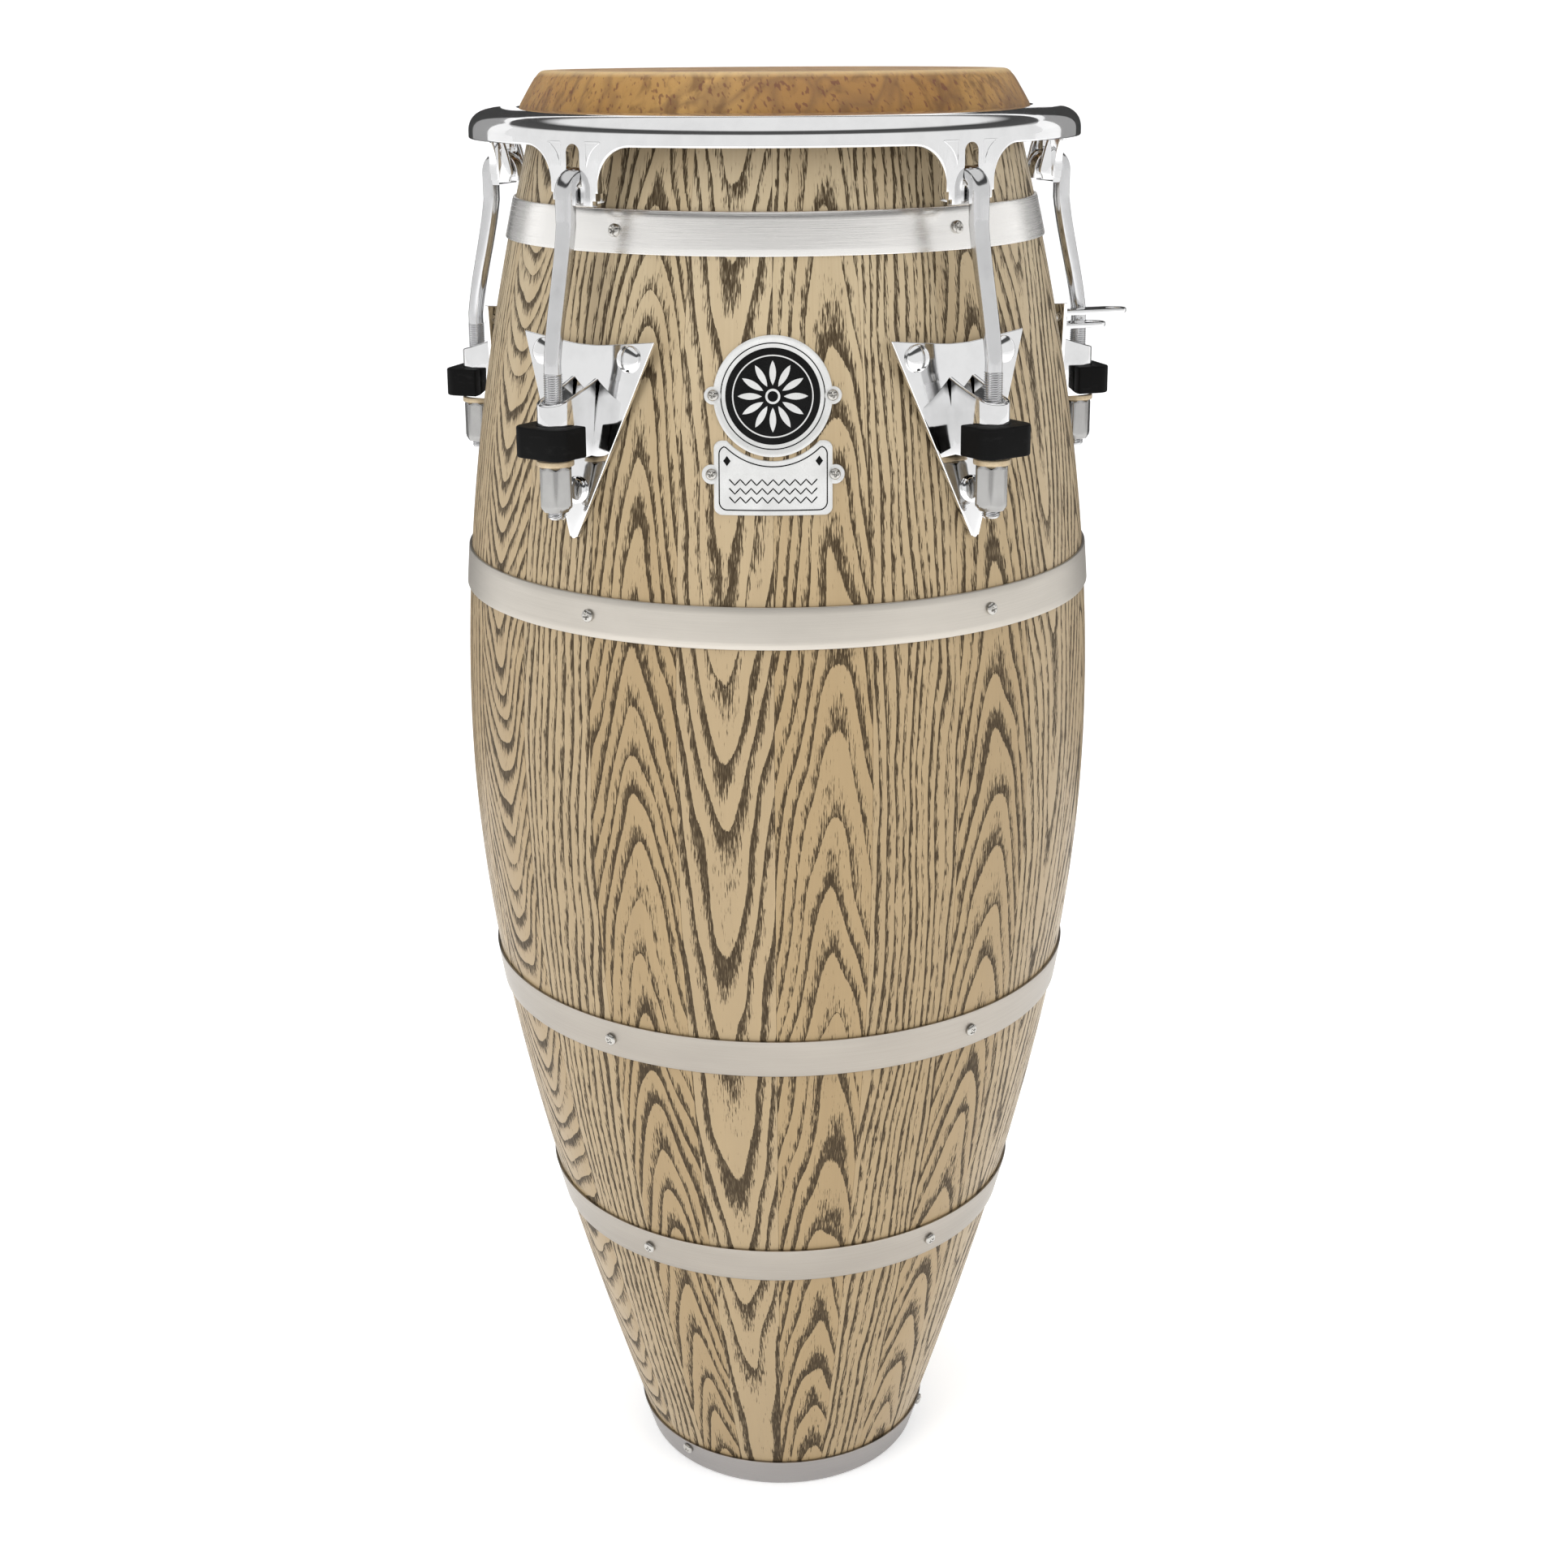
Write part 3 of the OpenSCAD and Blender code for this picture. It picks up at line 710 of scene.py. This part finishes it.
def ear_cheeks():
    """Webs behind the ear on both sides of the slot, with a scooped seat between them."""
    outline = [(RIM_R - 1.2, EAR_LOW + 0.9), (RIM_R - 9.6, EAR_LOW + 1.6)]
    outline += arc((RIM_R - 8.4, EAR_LOW + 6.4), 3.0, 230, 160, 4)
    outline += [(RIM_R - 8.6, RIM_LOW - 9), (RIM_R - 5.2, RIM_LOW + 0.6),
                (RIM_R - 1.2, RIM_LOW + 0.6)]
    verts, faces = prism(outline, -1.5, 1.5)
    return [(verts[:, [0, 2, 1]] + [0, side * (EAR_HALF - 1.9), 0], faces) for side in (-1, 1)]


def build_rim():
    rim = make("rim_casting", [rim_body()], CHROME, 38)
    cutters = make("rim_slots", at_lugs([slot_cutter()]), CHROME)
    modified(rim, "BOOLEAN", operation="DIFFERENCE", object=cutters, solver="EXACT")
    bpy.data.objects.remove(cutters)
    shaded(rim.data, 38)
    hand_over(rim, "rim", "rim_set")
    cheeks = make("rim_cheeks", at_lugs(ear_cheeks()), CHROME)
    rounded(cheeks, 0.5)
    ridges = make("rim_ridges", at_lugs(ear_ridges()), CHROME, 60)
    for piece in (cheeks, ridges):
        hand_over(piece, body="rim_set")


# ---- tuning hooks and nuts

def hook_path():
    """Middle line of a hook in its lug's plane: tip, bend, upright, lean, down to the thread."""
    lean_top, lean_low, thread_top = 695.0, 634.0, 628.5
    points = [(SHANK_R - 2 * BEND_R, z) for z in (BEND_Z - 4, BEND_Z - 2)]
    points += arc((SHANK_R - BEND_R, BEND_Z), BEND_R, 180, 0, 20)
    points += [(SHANK_R, z) for z in np.linspace(BEND_Z - 3, lean_top, 6)]
    for t in np.linspace(0, 1, 15)[1:]:
        eased = 0.35 * t * t * (3 - 2 * t) + 0.65 * t
        points.append((SHANK_R + (THREAD_R - SHANK_R) * eased, lean_top + (lean_low - lean_top) * t))
    return points + [(THREAD_R, z) for z in np.linspace(lean_low - 2, thread_top, 3)]


def hook_section(k, path):
    """Forged flats fade out of the bar towards the thread; the bend is a little wider."""
    z = path[k][1]
    half = [4.05 + 0.45 * np.clip((z - 690) / 20, 0, 1), 3.95]
    power = 2.0 + 1.1 * np.clip((z - 640) / 50, 0, 1)
    tip = 0.78 + 0.11 * min(k, 2)
    unit = np.column_stack([np.cos(around(28)), np.sin(around(28))])
    return np.array(half) * np.sign(unit) * np.abs(unit) ** (2 / power) * tip


def thread(low, high):
    """A right-hand thread as one helical surface, tapered at its lower end."""
    angles = around(28)
    rows = []
    for z in np.arange(low, high, THREAD_PITCH / 6):
        turn = (z / THREAD_PITCH - angles / TURN) % 1.0
        depth = np.abs(turn - 0.5) * 2
        r = THREAD_OUT - 0.60 * np.clip(1.25 * depth - 0.12, 0, 1)
        r = np.minimum(r, THREAD_OUT - 1.1 + (z - low) * 0.9)
        rows.append(ring_at(r, z, angles, THREAD_R))
    return capped(rows)


def nut_part():
    """A tall hexagon nut: small crown above, long rounded taper below, drilled through."""
    low, high = heights("tuning_nut_1")
    tall, half_flat = high - low, 7.3
    corner = half_flat / math.cos(math.pi / 6)
    angles = around(96)
    hexagon = half_flat / np.cos((angles + math.pi / 6) % (math.pi / 3) - math.pi / 6)
    hexagon = np.minimum(hexagon, corner - 0.22)
    stations = [(0.0, 2.3), (0.25, 2.15), (1.0, 1.6), (2.0, 0.85), (3.0, 0.15), (3.4, 0.0),
                (tall - 1.9, 0.0), (tall - 1.0, 0.6), (tall - 0.2, 1.15), (tall, 1.4)]
    rows = [(THREAD_OUT + 0.05, 0.9), (THREAD_OUT + 0.7, 0.0)]
    rows += [(np.minimum(hexagon, corner - cut), rise) for rise, cut in stations]
    rows += [(THREAD_OUT + 0.6, tall), (THREAD_OUT + 0.05, tall - 0.7)]
    return lattice([ring_at(r, low + rise, angles) for r, rise in rows],
                   wrap_rows=True, wrap_cols=True)


def build_tuning():
    path = hook_path()
    bar = tube(path, lambda k: hook_section(k, path))
    screw = thread(heights("tuning_hook_1")[0], 629)
    nut = nut_part()
    for i, spin in enumerate((12, 47, 25, 3, 38)):
        turn = lug_turn(i)
        hook = make(f"forged_hook_{i + 1}", [turned(bar, turn), turned(screw, turn)],
                    ROD_METAL, 50)
        hand_over(hook, f"tuning_hook_{i + 1}", "rim_set")
        placed = turned(moved(turned(nut, math.radians(spin)), (THREAD_R, 0, 0)), turn)
        piece = make(f"hex_nut_{i + 1}", [placed], NUT_METAL, 32)
        hand_over(piece, f"tuning_nut_{i + 1}", f"nut_{i + 1}")


def build_washers():
    low, high = heights("nut_washers")
    e = 0.45
    outline = arc((8.7 - e, low + e), e, -90, 0, 3) + arc((8.7 - e, high - e), e, 0, 90, 3)
    outline += [(4.9, high), (4.8, low)]
    ring = revolve(outline, steps=64)
    washers = make("bearing_washers", at_lugs([moved(ring, (THREAD_R, 0, 0))]), WASHER)
    hand_over(washers, "nut_washers")


# ---- side plates, brackets and bumpers

def plate_part():
    """A flat three-cornered sheet with a shallow notch above."""
    half_w, tip, top = 39.5, along_plate(549.5), along_plate(643.0)
    outline = [(-half_w, top), (-half_w + 0.2, top - 0.8), (-2.2, tip + 0.8)]
    outline += arc((0, tip + 1.5), 1.5, 200, 340, 6) + [(2.2, tip + 0.8)]
    outline += [(half_w - 0.2, top - 0.8), (half_w, top), (half_w - 1, top - 0.1)]
    outline += [(y, top - 3.7 * (1 - (max(0, abs(y) - 5) / (half_w - 5)) ** 1.15))
                for y in (28, 18, 11, 6, 3, 0, -3, -6, -11, -18, -28)]
    outline.append((-half_w + 1, top - 0.1))
    return stood(stood_out(prism(outline, 0.1, 0.1 + PLATE_T)), PLATE_MID)


def slab(outer, inner):
    """A closed sheet between two grids of points of the same shape."""
    rows, cols = outer.shape[:2]
    verts, faces = lattice(np.concatenate([outer, inner[::-1]]), wrap_rows=True)
    return verts, faces + [tuple(k * cols + c for k in (r, r + 1, 2 * rows - 2 - r, 2 * rows - 1 - r))
                           for r in range(rows - 1) for c in (0, cols - 1)]


def bracket_top(x, y):
    """The strap's upper edge: level round the front, then rising to the plate."""
    share = max(0.0, (BRACKET_R + 1 - x) / 30)
    return BRACKET_LOW + 25.5 + 9.6 * share ** 1.25


def front_outline(back, front, half, corner, steps=8):
    """Seen from above: straight sides from the back to rounded front corners."""
    sides = list(np.linspace(back, front - corner, 7))
    right = arc((front - corner, corner - half), corner, -90, 0, steps)
    left = arc((front - corner, half - corner), corner, 0, 90, steps)
    if abs(half - corner) < 1e-6:
        left = left[1:]
    return [(x, -half) for x in sides[:-1]] + right + left + [(x, half) for x in sides[-2::-1]]


def bracket_parts():
    """A strap bent round the hook's rod, and its drilled floor."""
    half = BRACKET_HALF
    start = wall_r(PLATE_MID) - 4.0
    outer = front_outline(start, BRACKET_R, half, half, 14)
    inner = front_outline(start, BRACKET_R - BRACKET_T, half - BRACKET_T, half - BRACKET_T, 14)
    verts, faces = prism(outer + inner[::-1], BRACKET_LOW, bracket_top)
    ends = verts[:, 0] < start + 0.01
    behind = (verts[ends, 2] - PLATE_MID) * math.tan(wall_lean(PLATE_MID))
    verts[ends, 0] = wall_r(PLATE_MID) + 1.2 - behind
    floor = eyelet(THREAD_R, 0.0, 4.85, half - 0.8, 17.0, BRACKET_LOW + 0.02,
                   BRACKET_LOW + BRACKET_T, BRACKET_R - half - THREAD_R)
    return [(verts, faces), floor]


def bumper_part():
    """A rubber block with well rounded front corners and a pocket for the bracket."""
    half, corner, back = 14.8, 7.0, 165.6
    low, high = heights("bumper_1")
    pocket = BRACKET_HALF + 0.12
    outer = front_outline(back, 185.0, half, corner, 10)
    inner = front_outline(back, BRACKET_R + 0.12, pocket, pocket, 10)
    return prism(outer + inner[::-1], low, high)


def build_side_plates():
    for i in range(LUGS):
        turn = lug_turn(i)
        plate = make(f"plate_sheet_{i + 1}", [turned(plate_part(), turn)], CHROME)
        rounded(plate, 0.45, 3)
        bracket = make(f"plate_bracket_{i + 1}", [turned(p, turn) for p in bracket_parts()],
                       CHROME)
        rounded(bracket, 0.5)
        hand_over(plate, f"side_plate_{i + 1}")
        hand_over(bracket)
        block = make(f"rubber_block_{i + 1}", [turned(bumper_part(), turn)], RUBBER)
        rounded(block, 1.3, 4, 50)
        hand_over(block, f"bumper_{i + 1}")


def bolt_part():
    """A carriage bolt's low domed head with a thin rolled edge."""
    dome = [(6.4 * math.sin(a), 0.9 + 2.3 * (math.cos(a) - math.cos(math.pi / 2)))
            for a in np.linspace(math.pi / 2, 0, 12)]
    profile = [(0, -0.1), (5.9, -0.1), (6.25, 0.15), (6.4, 0.55)] + dome[:-1] + [(0, 3.2)]
    return lathe(profile, 48)


def build_bolts():
    shank = lathe([(0, -20), (2.6, -20), (3.1, -19.4), (3.1, 0.2), (0, 0.2)], 32)
    parts = [stood(moved(stood_out(part), (lift, across, along_plate(z))), PLATE_MID)
             for across, z in BOLTS
             for part, lift in ((bolt_part(), PLATE_T + 0.2), (shank, PLATE_T))]
    bolts = make("carriage_bolts", at_lugs(parts), CHROME, 40)
    hand_over(bolts, "side_plate_bolts")


def build_hanger():
    """Two drilled tongues on one foot, beside the right-hand bracket."""
    low, high = heights("wrench_hanger")
    start = wall_r(627) + PLATE_T + 1.6
    across, half = -12.2, 7.0
    parts = [eyelet(tip - half, across, 3.9, half, tip - half - start, z, z + BRACKET_T)
             for z, tip in ((low + 2, 180.5), (high - 2.4, 192.5))]
    foot = [(start + x, across + y) for x, y in ((-2, -half), (1.2, -half), (1.2, half), (-2, half))]
    parts.append(prism(foot, low, high))
    hanger = make("wrench_tongues", [turned(p, lug_turn(2)) for p in parts], CHROME)
    rounded(hanger, 0.6, 3)
    hand_over(hanger, "wrench_hanger")


# ---- bands, foot ring and screws

def band_profile(low, high, off=0.1, thick=1.4, e=0.5):
    zs = np.linspace(low + e, high - e, 7)
    outside = [(wall_r(z) + off + thick, z) for z in zs]
    inside = [(wall_r(z) + off, z) for z in zs[::-1]]
    r_low, r_high = wall_r(low) + off, wall_r(high) + off
    start = [(r_low + 0.1, low), (r_low + thick - e, low), (r_low + thick - 0.15, low + 0.15)]
    end = [(r_high + thick - 0.15, high - 0.15), (r_high + thick - e, high), (r_high + 0.1, high)]
    return start + outside + end + inside


def build_bands():
    for node in ("neck_band", "belly_band", "lower_band", "base_band"):
        profile = band_profile(*heights(node))
        # The neck hoop gets the lighter copy of the steel and the lower hoops darker ones: painted
        # light falling off towards the bottom.
        metal = {"neck_band": NECK_STEEL_PAINTED_LIT, "belly_band": BELLY_STEEL_PAINTED_SHADE}.get(node, LOWER_STEEL_PAINTED_SHADE)
        hoop = make(node.replace("band", "hoop"), [revolve(profile, steps=320)], metal, 50)
        hand_over(hoop, node)
    top = heights("foot_ring")[1]
    zs = np.linspace(2.2, top - 0.5, 8)
    foot_r = wall_r(0) + 1.5
    profile = [(foot_r - inset, z) for inset, z in ((10.4, 1.4), (10.5, 0.7), (10.3, 0.05),
                                                    (2.4, 0.0), (0.9, 0.25), (0.1, 0.95))]
    profile += [(wall_r(z) + 1.5, z) for z in zs]
    profile += [(wall_r(top) + off, z) for off, z in ((1.3, top - 0.1), (0.9, top), (0.15, top))]
    profile += [(wall_r(z) + 0.12, z) for z in zs[::-1]] + [(foot_r - 1.9, 1.45)]
    # The foot ring gets the darkest copy of the band steel: painted shade low on the drum.
    ring = make("foot_hoop", [revolve(profile, steps=256)], FOOT_STEEL_PAINTED_SHADE, 40)
    hand_over(ring, "foot_ring")


def screw_part(head_r, length=9.0):
    """A pan-head wood screw with a sunk cross and a plain shank."""
    angles = around(48)
    shares = [*np.linspace(0.06, 0.60, 10), 0.68, 0.78, 0.88, 0.95, 0.985, 1.0]
    arm, arm_w, stem_r = 0.60 * head_r, 0.16 * head_r, 1.4
    rows = [ring_at(r, z, angles) for r, z in
            ((0.1 * stem_r, -length), (stem_r, 3 - length), (stem_r, -0.01),
             (0.97 * head_r, 0.0), (head_r, 0.35))]
    for share in shares[::-1]:
        r = share * head_r
        near = np.minimum(np.abs(r * np.cos(angles)), np.abs(r * np.sin(angles)))
        inside = np.clip((arm_w * 1.25 - near) / (arm_w * 0.5), 0, 1)
        inside *= np.clip((arm - r) / (0.10 * head_r), 0, 1)
        domed = 0.7 + 1.45 * math.sqrt(max(0.0, 1 - share ** 2.6))
        rows.append(ring_at(r, domed - inside * (1.25 - 0.9 * r / arm), angles))
    return capped(rows)


def screws_of(name, node, places, head_r, lift):
    parts = [on_wall(screw_part(head_r), angle, z, lift, RNG.uniform(0, math.pi / 2))
             for angle, z in places]
    piece = make(name, parts, SCREW_METAL, 45)
    hand_over(piece, node)


def build_screws():
    beside = math.radians(3.3)
    for band in ("neck", "belly", "lower", "base"):
        z = sum(heights(f"{band}_band")) / 2
        places = [(lug_turn(i) + beside, z) for i in range(LUGS)]
        screws_of(f"{band}_cross_screws", f"{band}_screws", places, 3.1, 1.55)
    foot = [(FRONT + math.radians(a), heights("foot_ring")[1] - 4.2) for a in (-40.5, 79.5, 199.5)]
    screws_of("foot_cross_screws", "foot_screws", foot, 3.1, 1.55)
    ears = [(FRONT + math.radians(side * 10.5), z) for side in (-1, 1) for z in (619.5, 584.2)]
    screws_of("badge_cross_screws", "badge_screws", ears, 2.6, 1.15)


# ---- badges

def wall_disc(centre_z, radii, lifts, centre_y=0.0, steps=96):
    """Rings on the wood at the front, each at its own lift, capped at both ends."""
    angles = around(steps)
    return turned(capped([wall_point(centre_y + r * np.cos(angles), centre_z + r * np.sin(angles),
                                     lift) for r, lift in zip(radii, lifts)]), FRONT)


def wall_band(a, b, low, high, closed=True):
    """A thin band between two lines of (across, z) points on the wood at the front."""
    rows = [wall_point(p[:, 0], p[:, 1], lift)
            for p, lift in ((a, low), (b, low), (b, high), (a, high))]
    verts, faces = lattice(rows, wrap_rows=True, wrap_cols=closed)
    if not closed:
        n = len(a)
        faces += [(0, n, 2 * n, 3 * n), (n - 1, 2 * n - 1, 3 * n - 1, 4 * n - 1)]
    return turned((verts, faces), FRONT)


def wall_ring(centre_z, inner, outer, low, high):
    """A flat ring on the wood at the front."""
    unit = np.column_stack([np.cos(around(128)), np.sin(around(128))])
    return wall_band(inner * unit + [0, centre_z], outer * unit + [0, centre_z], low, high)


def wall_strip(points, width, low, high, closed=False):
    """A thin strip along (across, z) points on the wood at the front."""
    points = np.asarray(points, float)
    looped = np.vstack([points[-1:], points, points[:1]])
    run = heading(looped)[1:-1] if closed else heading(points)
    side = run[:, ::-1] * [-1, 1] * width / 2
    return wall_band(points - side, points + side, low, high, closed)


def petal(angle, inner, outer, half_w):
    """A pointed leaf between two radii, as (across, up) points."""
    shares = np.linspace(0, 1, 9)
    r = inner + (outer - inner) * shares
    w = half_w * np.sin(math.pi * shares).clip(0) ** 0.8
    w[[0, -1]] = 0.0
    c, s = math.cos(angle), math.sin(angle)
    left = np.column_stack([r * c - w * s, r * s + w * c])
    right = np.column_stack([r * c + w * s, r * s - w * c])
    return np.vstack([left, right[-2:0:-1]])


def wall_plate(outline, low, high):
    """A small flat outline of (across, z) points raised off the wood at the front."""
    y, z = np.asarray(outline, float).T
    return turned(walled(wall_point(y, z, low), wall_point(y, z, high)), FRONT)


ROUND_Z = 619.5
LOWER_HALF, LOWER_TOP, LOWER_LOW, LOWER_CORNER = 27.0, 599.5, 566.0, 3.5
NEAR_END = np.array([1.0, 0.995, 0.98, 0.95, 0.91, 0.87])


def lower_edges(y, inset=0.0):
    """Bottom and top of the lower badge at a sideways distance, moved in by inset."""
    half = LOWER_HALF - inset
    corner = LOWER_CORNER
    past = np.maximum(0, np.abs(y) - (half - corner))
    drop = corner - np.sqrt(np.maximum(corner ** 2 - past ** 2, 0))
    low = LOWER_LOW + inset + drop
    top = LOWER_TOP - inset - drop
    cut = 29.0 + inset
    hollow = ROUND_Z - np.sqrt(np.maximum(cut ** 2 - y ** 2, 0))
    return low, np.where(np.abs(y) < cut, np.minimum(top, hollow), top)


def lower_outline(inset):
    """Closed outline of the lower badge, moved in by inset."""
    half = LOWER_HALF - inset
    ys = half * np.concatenate([-NEAR_END, np.linspace(-0.82, 0.82, 35), NEAR_END[::-1]])
    low, top = lower_edges(ys, inset)
    return [*zip(ys, low), *zip(ys[::-1], top[::-1])]


def build_badges():
    radii = [0.4, 20.0, 25.0, 25.5, 26.6, 27.1, 27.2, 27.0, 20.0, 0.4]
    lifts = [0.75, 0.75, 0.75, 1.05, 1.1, 0.9, 0.5, 0.1, 0.1, 0.1]
    body = [wall_disc(ROUND_Z, radii, lifts)]
    ear_radii = [0.3, 3.4, 3.8, 4.0, 4.0, 3.9, 0.3]
    ear_lifts = [0.95, 0.95, 0.85, 0.6, 0.3, 0.12, 0.12]
    body += [wall_disc(ROUND_Z, ear_radii, ear_lifts, side * 27.4, 40) for side in (-1, 1)]
    badge = make("badge_disc", body, BADGE_METAL, 40)
    hand_over(badge, "round_badge")
    black = [wall_disc(ROUND_Z, [0.3, 15, 21.2, 21.6, 21.6, 0.3], [0.98, 0.95, 0.9, 0.8, 0.7, 0.7])]
    # A thin black ring where a groove runs round the disc: painted shade in the groove, beside the
    # real black enamel disc.
    black.append(wall_ring(ROUND_Z, 23.4, 23.9, 0.7, 0.82))
    enamel_and_groove_shade = make("badge_enamel_and_groove_shade", black, BADGE_BLACK, 40)
    emblem = [wall_ring(ROUND_Z, 17.9, 18.5, 0.9, 1.08), wall_ring(ROUND_Z, 2.4, 3.4, 0.9, 1.12)]
    emblem += [wall_plate(petal(angle, 5.0, 16.0, 1.5) + [0, ROUND_Z], 0.9, 1.14)
               for angle in around(12)]
    rosette = make("badge_rosette", emblem, BADGE_METAL, 40)
    for piece in (enamel_and_groove_shade, rosette):
        hand_over(piece)

    tight = LOWER_HALF * NEAR_END[:5]
    ys = np.concatenate([-tight, np.linspace(-23.5, 23.5, 41), tight[::-1]])
    low, top = lower_edges(ys)
    shares = np.concatenate([[0, 0.012, 0.035], np.linspace(0.1, 0.9, 12), [0.965, 0.988, 1]])
    outer = np.array([wall_point(ys, low + (top - low) * share,
                                 np.where((np.abs(ys) > 26.8) | (share in (0, 1)), 0.7, 1.05))
                      for share in shares])
    inner = outer.copy()
    inner[:, :, 0] = np.sqrt((wall_r(outer[:, :, 2]) + 0.1) ** 2 - outer[:, :, 1] ** 2)
    sheet = [turned(slab(outer, inner), FRONT)]
    sheet += [wall_disc(584.2, [0.3, 3.8, 4.2, 4.4, 4.4, 4.3, 0.3], ear_lifts, side * 28.2, 40)
              for side in (-1, 1)]
    lower = make("badge_nameplate", sheet, BADGE_METAL, 40)
    hand_over(lower, "lower_badge")
    lines = [wall_strip(lower_outline(2.4), 0.55, 0.95, 1.12, closed=True)]
    for level in (573.0, 577.0, 581.0):
        zigzag = [(y, level + 1.3 * abs((k % 4) - 2) - 1.3)
                  for k, y in enumerate(np.linspace(-20, 20, 33))]
        lines.append(wall_strip(zigzag, 0.6, 0.95, 1.12))
    diamond = np.array([(-1.7, 0), (0, -2.3), (1.7, 0), (0, 2.3)])
    lines += [wall_plate(diamond + [side * 21.0, 590.5], 0.95, 1.12) for side in (-1, 1)]
    ink = make("badge_lines", lines, BADGE_BLACK, 40)
    hand_over(ink)


# ---- hidden pieces that keep their CAD shape

def finish_cad_nodes():
    looks = {"flesh_hoop": HIDE, "side_plate_nuts": SCREW_METAL}
    looks.update({f"backing_plate_{i + 1}": BACKING for i in range(LUGS)})
    for node, material in looks.items():
        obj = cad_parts[node]
        obj.data.materials.clear()
        obj.data.materials.append(material)


# ---- studio

def staged(name, verts, faces, material):
    mesh = bpy.data.meshes.new(name)
    mesh.from_pydata(verts, [], faces)
    mesh.materials.append(material)
    obj = linked(name, mesh)
    return obj


def build_floor():
    """A pale floor that curves up into a wall far behind the drum."""
    pale = Nodes("studio_floor").finish((0.88, 0.88, 0.88), 0.6, Emission_Color=(1, 1, 1),
                                        Emission_Strength=0.36)
    front, back, rise, turn_r, wide = -6.0, 7.0, 6.0, 2.5, 14.0
    path = [(front, 0.0), *arc((back - turn_r, turn_r), turn_r, -90, 0, 23), (back, rise)]
    verts = [(x, y, z) for y, z in path for x in (-wide, wide)]
    faces = [(2 * k, 2 * k + 1, 2 * k + 3, 2 * k + 2) for k in range(len(path) - 1)]
    floor = staged("floor", verts, faces, pale)
    floor.data.polygons.foreach_set("use_smooth", [True] * len(faces))


def build_flags():
    """Dark cards outside the picture, for the plated metal to show at its edges."""
    black = Nodes("flag_black").finish((0.02, 0.02, 0.02), 0.7)
    grey = Nodes("flag_grey").finish((0.22, 0.22, 0.22), 0.7)
    cards = [("back_flag", black, (0.0, 3.0, 1.55), (5.0, 1.0), 0.0),
             ("left_edge_flag", black, (-0.45, 0.9, 0.6), (0.38, 1.5), 0.0),
             ("right_edge_flag", black, (0.45, 0.9, 0.6), (0.38, 1.5), 0.0),
             ("left_flag", grey, (-0.9, 0.9, 0.6), (0.5, 1.5), 0.3),
             ("right_flag", grey, (0.9, 0.9, 0.6), (0.5, 1.5), -0.3)]
    for name, material, (x, y, z), (wide, tall), spin in cards:
        c, s = math.cos(spin) * wide / 2, math.sin(spin) * wide / 2
        verts = [(x + k * c, y + k * s, z + m * tall / 2)
                 for k, m in ((-1, -1), (1, -1), (1, 1), (-1, 1))]
        card = staged(name, verts, [(0, 1, 2, 3)], material)
        card.visible_camera = card.visible_shadow = card.visible_diffuse = False


def softbox(name, place, wide, tall, power):
    """A soft light on the drum's middle, unseen in its metal."""
    light = bpy.data.lights.new(name, "AREA")
    light.energy, light.shape = power, "RECTANGLE"
    light.size, light.size_y = wide, tall
    obj = linked(name, light)
    obj.location = place
    aim = Vector((0, 0, 0.45)) - Vector(place)
    obj.rotation_euler = aim.to_track_quat("-Z", "Y").to_euler()
    obj.visible_glossy = False


def build_lights():
    """Soft light all round, with dark gaps high up that polished metal can show."""
    world = bpy.data.worlds.new("studio")
    bpy.context.scene.world = world
    world.use_nodes = True
    tree = world.node_tree
    background = tree.nodes["Background"]
    coord, split, ramp = (tree.nodes.new(f"ShaderNode{kind}")
                          for kind in ("TexCoord", "SeparateXYZ", "ValToRGB"))
    tree.links.new(coord.outputs["Generated"], split.inputs[0])
    tree.links.new(split.outputs["Z"], ramp.inputs["Fac"])
    tree.links.new(ramp.outputs["Color"], background.inputs["Color"])
    elements = ramp.color_ramp.elements
    elements[0].color = elements[1].color = (1, 1, 1, 1)
    for position, value in ((0.34, 1.0), (0.42, 0.10), (0.62, 0.08), (0.70, 1.0)):
        elements.new(position).color = (value, value, value, 1)
    background.inputs["Strength"].default_value = 0.85
    softbox("key_softbox", (-1.9, -2.3, 1.9), 1.6, 2.2, 46)
    softbox("fill_softbox", (2.2, -2.0, 1.4), 1.6, 2.2, 26)
    softbox("top_softbox", (0, -0.2, 3.0), 2.4, 2.4, 40)


def build_camera():
    """The photograph's view: level with the head, tipped down, close in."""
    distance, height, pitch = 1.1321, 0.7739, 0.25
    orbit, roll = math.radians(0.6), math.radians(-0.33)
    data = bpy.data.cameras.new("photo_camera")
    data.sensor_width, data.lens = 36.0, 50.301242
    data.shift_x, data.shift_y = 0.0042, -0.115
    camera = linked("photo_camera", data)
    place = Matrix.Rotation(orbit, 4, "Z") @ Matrix.Translation((0, -distance, height))
    aim = Matrix.Rotation(math.pi / 2 - pitch, 4, "X") @ Matrix.Rotation(roll, 4, "Z")
    camera.matrix_world = place @ aim
    bpy.context.scene.camera = camera
    bpy.context.scene.view_settings.view_transform = "Standard"


build_camera()
build_shell()
build_head()
build_rim()
build_tuning()
build_washers()
build_side_plates()
build_bolts()
build_hanger()
build_bands()
build_screws()
build_badges()
finish_cad_nodes()
build_floor()
build_flags()
build_lights()
